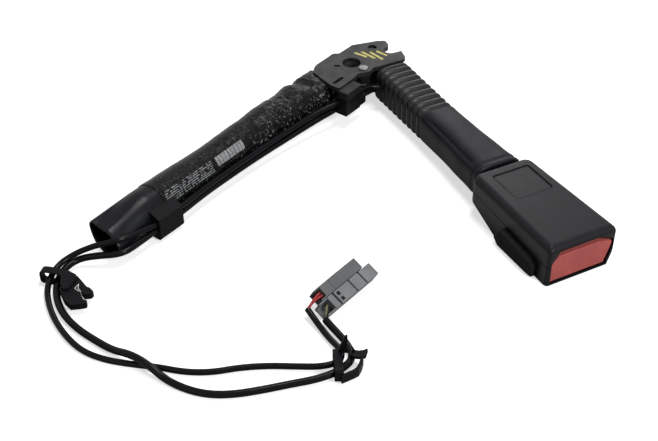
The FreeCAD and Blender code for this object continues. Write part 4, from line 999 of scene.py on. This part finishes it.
@dataclass
class Ties:
    """The strap with its edge clip, and the harness clip with its fin, hook and blade, on the free leads."""

    strap: tuple[Spot, float, float, float, float] = ((89.0, -235.6, 4.5), -41.0, 5.0, 7.2, 4.4)
    harness: tuple[Spot, float, float, float, float] = ((223.0, -130.2, 4.5), 66.0, 4.6, 8.9, 4.4)
    head: Outline = (
        (91.8, -228.8), (98.6, -225.2), (101.4, -226.4), (107.2, -232.4), (107.0, -235.3), (102.3, -235.6),
        (95.5, -233.2),
    )
    edge: Outline = (
        (103.8, -236.9), (101.2, -232.1), (99.2, -228.1), (97.2, -224.6), (102.9, -223.7), (108.4, -223.0),
        (110.5, -221.7), (114.1, -221.0), (115.4, -222.9), (114.2, -226.5), (111.0, -226.9),
        (108.0, -227.4), (104.2, -225.8), (106.8, -229.5), (110.6, -228.0), (117.8, -227.9),
        (119.4, -226.5), (121.2, -227.4), (121.3, -228.8), (118.9, -235.8), (112.9, -237.2),
    )
    insert: Outline = (
        (111.0, -226.9), (108.0, -227.4), (104.2, -225.8), (106.8, -229.5), (110.6, -228.0),
        (110.5, -227.65), (106.95, -228.95), (105.2, -226.75), (107.9, -227.85), (111.0, -227.3),
    )
    hook: Outline = (
        (232.6, -133.2), (232.3, -126.4), (231.9, -123.2), (229.3, -119.9), (225.9, -117.1),
        (224.9, -118.5), (227.9, -121.0), (230.1, -123.9), (230.6, -126.8), (231.0, -133.2),
    )
    blade: Outline = (
        (216.9, -118.9), (216.9, -118.1), (218.9, -118.3), (220.3, -116.8), (221.0, -114.2),
        (220.9, -112.1), (222.3, -112.6), (225.6, -115.6), (225.5, -117.3), (224.1, -120.0),
        (222.5, -121.4), (220.7, -122.5), (220.8, -119.9), (219.7, -119.1),
    )
    fin: Outline = ((0.0, 8.0), (5.1, 8.0), (4.9, 19.6), (4.2, 20.0), (3.4, 19.0), (1.2, 13.0))
    fin_foot: Pair = (217.2, -127.4)
    fin_way: Pair = (0.51, 0.86)

    def band(self, centre: Spot, turn: float, width: float, reach: float,
             rise: float) -> Form:
        """A flat closed strap round a bundle.

        Args:
            centre: The bundle's middle.
            turn: The bundle's direction in degrees.
            width: The strap's width.
            reach: Half its breadth across the bundle.
            rise: Half its height.

        Returns:
            Its form.
        """
        frame = Matrix.Rotation(math.radians(turn), 3, "Z")

        def place(share: float, station: int) -> Vector:
            """The point of the strap.

            Args:
                share: The share of the way round.
                station: The section.

            Returns:
                The point.
            """
            inset = 0.0 if station < 2 else 0.9
            side, up = round_section(share, reach - inset, rise - inset, 4.5)
            along = width / 2 if station in (1, 2) else -width / 2
            return at(*centre) + frame @ Vector((along, side, up)) * MM

        return Form().skin(72, 4, place).bridged()

    def build(self) -> tuple[list[Piece], list[Piece]]:
        """Makes them.

        Returns:
            What sits on the switch's lead, and what sits on the igniter's.
        """
        strap = self.band(*self.strap).slab(self.head, 0.5, 8.9)
        edge = Form().slab(self.edge, 3.0, 7.0).soften(0.3)
        insert = Form().slab(self.insert, 3.2, 6.8).soften(0.06)
        harness = self.band(*self.harness)
        harness.slab(self.hook, 1.0, 6.2).slab(self.blade, 4.6, 6.4)
        (x, y), (dx, dy) = self.fin_foot, self.fin_way
        harness.prism([at(x + u * dx, y + u * dy, h) for u, h in self.fin], Vector((1.2, -0.7, 0.0)) * MM)
        return ([strap.soften(0.3).piece("tie_strap_moulding", Coat.BLACK, "anchor", "tie_strap"),
                 edge.piece("edge_clip_moulding", Coat.BLACK, "anchor", "edge_clip"),
                 insert.piece("clip_insert_strip", Coat.SPRING, "anchor", "clip_insert")],
                [harness.soften(0.2).piece("harness_clip_moulding", Coat.BLACK, "anchor", "harness_clip")])


@dataclass
class Leads:
    """The two leads: the runs that the clips hold, and the free ends with their clips and connectors."""

    switch_radius: float = 1.7
    igniter_radius: float = 2.0
    switch_run: Path = (
        (192.0, 3.7, 12.4), (170.0, 3.7, 12.4), (150.0, 2.2, 12.4), (124.0, 2.1, 12.6), (98.0, 2.8, 13.0),
        (76.0, 4.2, 13.8), (56.0, 6.2, 15.0), (42.0, 9.4, 16.6), (31.0, 13.4, 17.9), (17.0, 15.6, 18.1),
        (5.0, 16.8, 18.1), (-1.5, 22.0, 17.0), (-6.5, 28.5, 15.0),
    )
    igniter_run: Path = (
        (192.0, 3.3, 8.0), (170.0, 3.3, 8.0), (150.0, 1.7, 8.1), (124.0, 1.7, 8.2), (98.0, 2.5, 8.4),
        (76.0, 4.3, 8.9), (56.0, 6.8, 10.2), (42.0, 9.8, 12.0), (31.0, 11.8, 12.6), (15.95, 11.0, 12.5),
    )
    switch_lead: Path = (
        (86.8, -186.5, 13.6), (88.8, -198.4, 14.8), (83.6, -209.0, 12.0), (80.9, -220.5, 8.6),
        (83.6, -232.0, 6.2), (94.0, -241.3, 3.4), (108.3, -244.8, 1.8), (123.0, -245.4, 1.7),
        (137.5, -243.8, 1.7), (150.5, -240.0, 1.7), (161.5, -232.0, 1.7), (170.5, -221.5, 1.7),
        (179.0, -210.0, 1.7), (188.6, -199.6, 1.7), (195.2, -187.5, 1.7), (198.6, -174.0, 1.7),
        (204.2, -160.5, 1.7), (212.0, -147.5, 1.9), (219.0, -136.5, 2.8), (220.2, -127.2, 3.4),
        (213.2, -122.6, 2.6), (202.5, -123.6, 1.8), (193.5, -124.0, 2.0), (185.4, -124.4, 3.2),
        (178.9, -125.0, 5.0),
    )
    igniter_lead: Path = (
        (88.9, -186.7, 8.0), (93.0, -197.4, 8.2), (86.6, -209.4, 7.0), (81.4, -218.5, 4.6),
        (84.6, -228.0, 4.0), (94.0, -235.8, 3.0), (106.5, -239.8, 2.0), (120.5, -240.0, 2.0),
        (134.0, -236.8, 2.0), (147.5, -231.0, 2.0), (158.0, -226.4, 3.0), (168.0, -221.0, 6.6),
        (178.0, -215.5, 6.2), (189.0, -210.4, 2.2), (199.8, -204.0, 2.0), (208.6, -195.5, 2.0),
        (214.4, -184.5, 2.0), (218.2, -171.0, 2.0), (221.2, -157.0, 2.0), (225.2, -143.0, 2.6),
        (226.2, -130.5, 3.6), (220.8, -119.8, 2.8), (209.0, -117.4, 2.0), (198.0, -118.2, 2.0),
        (188.8, -119.4, 2.8),
    )

    def lead(self, node: str, points: Sequence[Vector], radius: float) -> Piece:
        """The lead that replaces a CAD node."""
        return cable(f"{node}_cable", Coat.LEAD, points, radius, node)

    def build(self) -> None:
        run = [TUBE.point(*p) for p in self.switch_run]
        free = [run[0]] + [at(*p) for p in self.switch_lead]
        self.lead("switch_lead_run", run, self.switch_radius)
        switch = self.lead("switch_lead", free, self.switch_radius)
        run = [TUBE.point(*p) for p in self.igniter_run]
        gas = [run[0]] + [at(*p) for p in self.igniter_lead]
        self.lead("igniter_lead_run", run, self.igniter_radius)
        igniter = self.lead("igniter_lead", gas, self.igniter_radius)
        switch_ties, igniter_ties = Ties().build()
        on_switch, on_igniter = Connectors().build(free[-1], gas[-1])
        tuple(free[0])
        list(switch_ties)
        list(on_switch)
        tuple(gas[0])
        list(igniter_ties)
        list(on_igniter)


@dataclass
class Wrap:
    """The film that is shrunk over the tube, its crimps and the end of the bracket."""

    start: float = 21.5
    end: float = 178.0
    sections: Sequence[tuple[float, ...]] = (
        (21.5, -22.2, 6.0, 1.8, 27.4, 3.2), (27.0, -22.8, 6.2, 1.6, 27.5, 3.0),
        (33.0, -23.9, 6.0, 0.8, 27.4, 2.5), (38.0, -22.9, 5.0, 1.1, 26.0, 2.2),
        (47.0, -24.6, 4.4, 0.5, 28.0, 2.2), (58.0, -23.2, 3.0, 0.9, 26.8, 2.2),
        (72.0, -24.0, 1.8, 0.5, 27.4, 2.1), (96.0, -23.8, 0.6, 0.6, 25.6, 2.1),
        (130.0, -23.6, 0.0, 0.8, 24.4, 2.0), (168.0, -24.4, 0.6, -0.0, 25.0, 2.0),
        (178.0, -24.4, 0.6, -0.0, 25.0, 2.0),
    )
    around: int = 120
    stations: int = 300

    def place(self, share: float, station: int) -> Vector:
        """The point of the wrinkled film.

        Args:
            share: The share of the way round.
            station: The section.

        Returns:
            The point.
        """
        along = self.start + (self.end - self.start) * station / (self.stations - 1)
        low, high, bottom, top, power = between(self.sections, along)
        across, up = round_section(share, (high - low) / 2, (top - bottom) / 2, power)
        turn = 2 * math.pi * share
        spot = Vector((along * 0.09, math.cos(turn) * 1.1, math.sin(turn) * 1.1))
        lump = noise.noise(spot * 1.6 + Vector((3.1, 0, 0))) * 0.35 + noise.noise(spot * 4.4) * 0.22
        lump -= max(0.0, 0.25 - abs(noise.noise(spot * 2.1 + Vector((9.0, 2.0, 0))))) * 1.1
        lump *= 0.25 + 0.75 * max(0.0, min(1.0, (120.0 - along) / 60.0))
        edge = min(1.0, (self.end - along) / 8.0)
        reach = 1.0 + (lump - 0.15) * edge / math.hypot(across, up)
        return TUBE.point(along, (low + high) / 2 + across * reach, (bottom + top) / 2 + up * reach)

    def build(self) -> None:
        """Makes the film."""
        Form().skin(self.around, self.stations, self.place, closed_ends=True).piece(
            "wrap_film", Coat.WRAP, "anchor", "tube_wrap", crease=80.0)


@dataclass
class Sleeve:
    """The thin moulding over the end of the tube, squeezed to two lobes at its mouth."""

    start: float = 173.0
    end: float = 217.0
    wall: float = 1.3
    radius: float = 10.82
    centre: Pair = (-11.2, 9.8)
    mouth: Outline = (
        (-23.0, 16.4), (-20.6, 19.2), (-16.5, 18.4), (-12.2, 17.8), (-8.5, 17.6), (-4.0, 15.0), (0.3, 11.0),
        (1.1, 6.0), (-2.2, 1.8), (-8.0, 0.0), (-14.2, 0.3), (-19.4, 4.4), (-22.2, 10.6),
    )
    squeeze: float = 0.30
    lip: Pair = (0.22, 0.78)
    rounding: float = 0.006
    dent: float = 0.12
    around: int = 156
    steps: int = 44

    def rim(self, share: float) -> Pair:
        """A smooth point of the squeezed mouth.

        Args:
            share: The share of the way round.

        Returns:
            The point, beside the tube and up.
        """
        count = len(self.mouth)
        place = share * count
        i = int(place) % count
        t = place - int(place)
        a, b, c, d = (self.mouth[(i + k - 1) % count] for k in range(4))
        return tuple(0.5 * (2 * q + (r - p) * t + (2 * p - 5 * q + 4 * r - s) * t * t
                            + (3 * q - p - 3 * r + s) * t ** 3) for p, q, r, s in zip(a, b, c, d))

    def place(self, share: float, station: int) -> Vector:
        """The point of the wall: the stations go out along the outside and back along the inside.

        Args:
            share: The share of the way round.
            station: The station.

        Returns:
            The point.
        """
        outside, step = out_and_back(station, self.steps)
        way = step / (self.steps - 1)
        at_rim = step in (0, self.steps - 1)
        inset = 0.0 if outside else self.wall
        if at_rim:
            inset = self.wall * self.lip[0 if outside else 1]
        share_way = max(0.0, (way - self.squeeze) / (1 - self.squeeze))
        amount = 0.45 * share_way + 0.55 * share_way * share_way * (3 - 2 * share_way)
        side, height = self.rim(share)
        dx, dy = side - self.centre[0], height - self.centre[1]
        reach = math.hypot(dx, dy)
        dx, dy = dx / reach, dy / reach
        drawn_in = 1.0 - (self.rounding if at_rim else 0.0)
        round_side = TUBE.side + dx * (self.radius + self.wall - inset)
        round_height = ROPE_HEIGHT + dy * (self.radius + self.wall - inset)
        side = round_side * (1 - amount) + (side - dx * inset) * amount
        height = round_height * (1 - amount) + (height - dy * inset) * amount
        along = self.start + (self.end - self.start) * way * drawn_in
        dent = noise.noise(Vector((along * 0.06, dx * 1.2, dy * 1.2))) * self.dent * min(1.0, way * 4)
        return TUBE.point(along, side + dx * dent, max(height + dy * dent, 0.02))

    def build(self) -> None:
        """Makes the sleeve."""
        form = Form().skin(self.around, 2 * self.steps, self.place).bridged()
        form.piece("end_sleeve_moulding", Coat.SLEEVE, "anchor", "end_sleeve", crease=50.0)


@dataclass
class Boot:
    """The bellows boot between the bracket and the neck."""

    start: float = 12.7
    end: float = 70.0
    collar: float = 3.4
    ribs: int = 9
    held: float = 13.2
    wall: float = 1.2
    depth: float = 2.5
    bottom: float = 2.4
    top: float = 25.0
    rise: float = 2.2
    around: int = 128
    steps: int = 14
    collar_steps: int = 6
    crest: float = 0.55
    lean: float = 0.12
    half_width: float = 13.0
    squareness: float = 4.2
    middle: float = 13.7

    def inset(self, x: float) -> float:
        """How far the outside lies within the ribs' tips: a plain collar, then the ribs.

        Args:
            x: The place along the stalk.

        Returns:
            The inset in millimetres.
        """
        first = self.start + self.collar
        if x < first:
            rounding = max(0.0, 1 - (x - self.start) / 1.0) ** 2 * 0.7
            dip = max(0.0, 1 - (first - x) / 0.7) ** 2 * self.depth
            return 0.3 + rounding + dip
        way = (x - first) / (self.end - first) * self.ribs
        turn = way - int(way)
        crest = math.sin(math.pi * turn) ** self.crest
        lean = self.lean * math.sin(2 * math.pi * turn)
        inset = self.depth * (1 - min(1.0, crest + lean)) + 0.1
        return min(inset, 1.5) if way > self.ribs - 0.3 else inset

    def place(self, share: float, station: int) -> Vector:
        """The point of the boot's skin: out along the ribs and back along the plain inside.

        Args:
            share: The share of the way round.
            station: The station.

        Returns:
            The point.
        """
        collar = self.collar_steps
        count = collar + self.ribs * self.steps + 1
        first = self.start + self.collar
        if station < collar:
            x = self.start + self.collar * station / collar
            inset = self.inset(x)
        elif station < count:
            x = first + (self.end - first) * (station - collar) / (count - 1 - collar)
            inset = self.inset(min(x, self.end - 1e-4))
        else:
            x = self.end if station == count else self.start
            inset = self.depth + self.wall
        half = (self.top + self.rise * (self.end - x) / (self.end - self.start) - self.bottom) / 2
        across, up = round_section(share, self.half_width - inset, half - inset, self.squareness)
        sway = noise.noise(Vector((x * 0.35, share * 5.0, 0.0))) * 0.18 if station < count else 0.0
        return at(x, STALK_SIDE + 0.4 + across + sway, self.bottom + half + up)

    def build(self) -> None:
        """Makes the boot."""
        form = Form().skin(self.around, self.collar_steps + self.ribs * self.steps + 3, self.place)
        boot = form.bridged().piece("boot_rubber_bellows", Coat.BOOT, "anchor", "bellows_boot", crease=70.0)
        anchor = tuple(at(self.held, STALK_SIDE, self.middle))
        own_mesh(boot)


@dataclass
class Neck:
    """The stiff hollow moulding between the boot and the head."""

    start: float = 70.0
    end: float = 139.6
    wall: float = 2.2
    scoop: float = 0.9
    scooped: Pair = (73.0, 133.0)
    rim_dip: float = 135.6
    sections: Sequence[tuple[float, ...]] = (
        (70.0, -12.4, 13.4, 2.4, 25.2, 4.0), (94.0, -13.2, 14.2, 2.6, 25.6, 3.6),
        (122.0, -15.2, 15.2, 3.4, 26.0, 3.6), (139.6, -16.4, 15.8, 4.0, 26.3, 4.0),
    )
    around: int = 128
    steps: int = 60

    def place(self, share: float, station: int) -> Vector:
        """The point of the wall, with a raised rim at the head and a rounded lip at the boot.

        Args:
            share: The share of the way round.
            station: The station, out along the outside and back along the inside.

        Returns:
            The point.
        """
        outside, step = out_and_back(station, self.steps)
        way = step / (self.steps - 1)
        x = self.start + (self.end - self.start) * way
        low, high, bottom, top, power = between(self.sections, x)
        inset = 0.0 if outside else self.wall
        if outside:
            inset += 0.45 * math.exp(-((x - self.rim_dip) / 1.1) ** 2)
            first, last = self.scooped
            fade = min(1.0, max(0.0, (x - first) / 12.0)) * min(1.0, max(0.0, (last - x) / 6.0))
            inset += fade * self.scoop * math.exp(-((abs(share - 0.5) - 0.128) / 0.026) ** 2)
            lips = max(0.0, 1 - (x - self.start) / 1.2) ** 2, max(0.0, 1 - (self.end - x) / 0.8) ** 2
            inset += 0.5 * lips[0] + 0.5 * lips[1]
        across, up = round_section(share, (high - low) / 2 - inset, (top - bottom) / 2 - inset, power)
        return at(x, STALK_SIDE + (low + high) / 2 + across, (bottom + top) / 2 + up)

    def build(self) -> None:
        """Makes the neck."""
        form = Form().skin(self.around, 2 * self.steps, self.place).bridged()
        form.piece("neck_moulding", Coat.NECK, "buckle", "neck_sleeve", crease=50.0)


@dataclass(frozen=True)
class Softened:
    """A CAD node that keeps its form and gets softened edges."""

    node: str
    name: str
    width_mm: float
    coat: Coat
    body: str = "anchor"
    segments: int = 2

    def build(self, lift: Callable[[float, float], float] | None = None) -> None:
        """Makes the piece.

        Args:
            lift: How far a corner moves up, from its place along the stalk and its height.
        """
        form = Form.of_node(self.node)
        for vert in form.bm.verts if lift else ():
            vert.co.z += lift(vert.co.x / MM, vert.co.z / MM + REST_HEIGHT) * MM
        form.soften(self.width_mm, segments=self.segments).piece(self.name, self.coat, self.body, self.node)


@dataclass
class Bracket:
    """The anchor plates, the guide block between them and what fastens them."""

    pieces: Sequence[Softened] = (
        Softened("upper_plate", "upper_plate_metal", 0.35, Coat.PLATE),
        Softened("lower_plate", "lower_plate_metal", 0.3, Coat.STEEL),
        Softened("guide_block", "guide_block_metal", 0.3, Coat.CASTING),
        Softened("anchor_bush", "anchor_bush_metal", 0.2, Coat.STEEL),
        Softened("bracket_rivet", "bracket_rivet_metal", 0.25, Coat.RIVET),
        Softened("foot_pin", "foot_pin_metal", 0.3, Coat.STEEL),
        Softened("upper_lead_clip", "upper_lead_clip_moulding", 0.35, Coat.BLACK),
        Softened("generator_plug", "generator_plug_moulding", 0.35, Coat.BLACK),
    )
    low_clip: Softened = Softened("lower_lead_clip", "lower_lead_clip_moulding", 0.35, Coat.BLACK)
    clip_sink: float = 0.37
    clip_foot: float = 15.2

    def build(self) -> None:
        """Makes the bracket's pieces and lowers the top of one clip."""
        for piece in self.pieces:
            piece.build()
        self.low_clip.build(lambda x, height: -max(0.0, height - self.clip_foot) * self.clip_sink)


@dataclass
class Head:
    """The buckle's shells, its button and the latch inside."""

    groove: float = 0.4
    parting: Outline = ((139.2, 15.6), (220.5, 12.2))
    near_mm: float = 0.05
    upper: Softened = Softened("upper_shell", "upper_shell_moulding", 0.4, Coat.SHELL, "buckle", 3)
    others: Sequence[Softened] = (
        Softened("lower_shell", "lower_shell_moulding", 0.4, Coat.SHELL, "buckle", 3),
        Softened("latch_frame", "latch_frame_metal", 0.2, Coat.STEEL, "buckle"),
        Softened("release_button", "button_moulding", 0.3, Coat.BUTTON, "button", 3),
        Softened("latch", "latch_metal", 0.2, Coat.STEEL, "latch"),
        Softened("ejector", "ejector_moulding", 0.25, Coat.BLACK, "ejector"),
        Softened("felt_pad", "felt_pad_cloth", 0.5, Coat.FELT, "buckle"),
    )

    def open_groove(self, x: float, height: float) -> float:
        """How far the upper shell's corners move up from the parting line.

        Args:
            x: The corner's place along the stalk.
            height: Its height.

        Returns:
            The groove's width on the parting line, and nought elsewhere.
        """
        (back, high), (front, low) = self.parting
        line = high + (low - high) * (x - back) / (front - back)
        return self.groove if abs(height - line) < self.near_mm else 0.0

    def build(self) -> None:
        """Makes the head's pieces."""
        self.upper.build(self.open_groove)
        for piece in self.others:
            piece.build()


@dataclass
class InnerWorks:
    """The CAD nodes that stay inside and only need their materials."""

    coats: dict[str, Coat] = field(default_factory=lambda: {
        "gas_generator": Coat.CAN, "tensioner_tube": Coat.STEEL, "piston": Coat.TURNED,
        "piston_seal": Coat.SEAL, "lock_balls": Coat.SPRING, "rope_swage": Coat.TURNED,
        "latch_axle": Coat.SPRING, "rope_ferrule": Coat.TURNED, "buckle_switch": Coat.BLACK,
    })
    springs: Sequence[tuple[str, str, float, float]] = (
        ("button_springs", "button_press", 158.0, 6.0), ("ejector_spring", "ejector_slide", 151.5, 12.0),
    )
    rope_cut: float = 10.0
    rope_side: float = 14.0
    pull: float = 32.0

    def half_rope(self, name: str, in_stalk: bool, *nodes: str) -> Piece:
        """The rope on one side of a cut through its straight run at the bracket.

        Args:
            name: The piece's name.
            in_stalk: Whether it is the run in the stalk.
            nodes: The CAD nodes that it replaces.

        Returns:
            The piece.
        """
        form = Form.of_node("wire_rope")
        cut = Vector((self.rope_cut * MM, 0.0, 0.0))
        geometry = [*form.bm.faces, *form.bm.edges, *form.bm.verts]
        bmesh.ops.bisect_plane(form.bm, geom=geometry, plane_co=cut, plane_no=Vector((1.0, 0.0, 0.0)))
        gone = []
        for face in form.bm.faces:
            middle = face.calc_center_median()
            beyond = middle.x > cut.x and middle.y > self.rope_side * MM
            if beyond != in_stalk:
                gone.append(face)
        bmesh.ops.delete(form.bm, geom=gone, context="FACES")
        return form.filled().piece(name, Coat.TURNED, "anchor", *nodes)

    def give(self, thing: Piece, joint: str, start: float, travel: float) -> None:
        """Gives a piece its own copy of its mesh.

        Args:
            thing: The piece.
            joint: The joint; it is not used.
            start: The place of its held end.
            travel: How far its other end moves; it is not used.
        """
        anchor = tuple(at(start, STALK_SIDE, ROPE_HEIGHT))
        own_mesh(thing)

    def build(self) -> None:
        """Dresses them, and makes the springs and the two halves of the rope into pieces of their own."""
        for node, coat in self.coats.items():
            dress_node(node, coat)
        for node, joint, start, travel in self.springs:
            spring = Form.of_node(node).piece(f"{node}_wire", Coat.SPRING, "buckle", node)
            self.give(spring, joint, start, travel)
        self.half_rope("rope_round_the_guide", False)
        stalk = self.half_rope("wire_rope_in_the_stalk", True, "wire_rope")
        self.give(stalk, "buckle_pull", self.rope_cut, self.pull)


@dataclass
class Studio:
    """A white floor and soft lamps."""

    bounce: float = 0.10
    glow: float = 0.62
    surround: float = 0.10
    aim: Vector = field(default_factory=lambda: Vector((0.1, -0.08, 0)))
    lamps: Sequence[tuple[str, Spot, float, float]] = (
        ("overhead", (0.05, 0.15, 1.0), 0.35, 7.0), ("key", (1.25, 0.25, 0.75), 0.3, 11.0),
        ("behind", (-0.9, 0.7, 0.7), 0.35, 2.2), ("fill", (0.5, -1.0, 0.6), 0.5, 0.8),
    )

    def floor(self) -> None:
        """A plain floor that stays white to the camera and keeps the object's shadow."""
        form = Form()
        bmesh.ops.create_grid(form.bm, x_segments=1, y_segments=1, size=4.0)
        mesh = bpy.data.meshes.new("floor")
        form.bm.to_mesh(mesh)
        form.bm.free()
        floor = bpy.data.objects.new("floor", mesh)
        floor.location.z = -REST_HEIGHT * MM - 0.0002
        bpy.context.scene.collection.objects.link(floor)
        finish = Finish("white_floor")
        shade = finish.blend(finish.rays("Camera", "Glossy"), (self.bounce,) * 3, (0.8, 0.8, 0.8))
        finish.surface(Base_Color=shade, Roughness=0.9, Specular_IOR_Level=0.0,
                       Emission_Color=(1.0, 1.0, 1.0), Emission_Strength=finish.rays("Camera") * self.glow)
        floor.data.materials.append(finish.material)

    def lamp(self, name: str, place: Vector, size: float, power: float) -> None:
        """A square soft lamp that looks at the part.

        Args:
            name: Its name.
            place: Where it stands.
            size: Its side.
            power: Its power in watts.
        """
        data = bpy.data.lights.new(name, "AREA")
        data.shape = "SQUARE"
        data.size = size
        data.energy = power
        lamp = bpy.data.objects.new(name, data)
        lamp.location = place
        lamp.rotation_euler = (self.aim - place).to_track_quat("-Z", "Y").to_euler()
        bpy.context.scene.collection.objects.link(lamp)

    def world(self) -> None:
        """A pale surround, white to the camera and to reflections."""
        world = bpy.data.worlds.new("pale_surround")
        world.use_nodes = True
        nodes = Nodes(world.node_tree)
        back = nodes.tree.nodes["Background"]
        back.inputs["Color"].default_value = (1.0, 1.0, 1.0, 1.0)
        seen = nodes.rays("Camera", "Transmission", "Glossy")
        strength = seen.math("MULTIPLY_ADD", 1.0 - self.surround, self.surround)
        nodes.tree.links.new(strength.socket, back.inputs["Strength"])
        bpy.context.scene.world = world

    def build(self) -> None:
        """Makes the floor, the surround and the lamps."""
        self.floor()
        self.world()
        for name, place, size, power in self.lamps:
            self.lamp(name, Vector(place), size, power)
        bpy.context.scene.view_settings.view_transform = "Standard"


def main() -> None:
    """Builds the scene and reports each piece."""
    logging.basicConfig(level=logging.INFO, format="%(message)s")
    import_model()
    Camera().build()
    Leads().build()
    for group in (Wrap(), Sleeve(), Boot(), Neck(), Bracket(), Head(), InnerWorks(), Studio()):
        group.build()


if __name__ == "__main__":
    main()
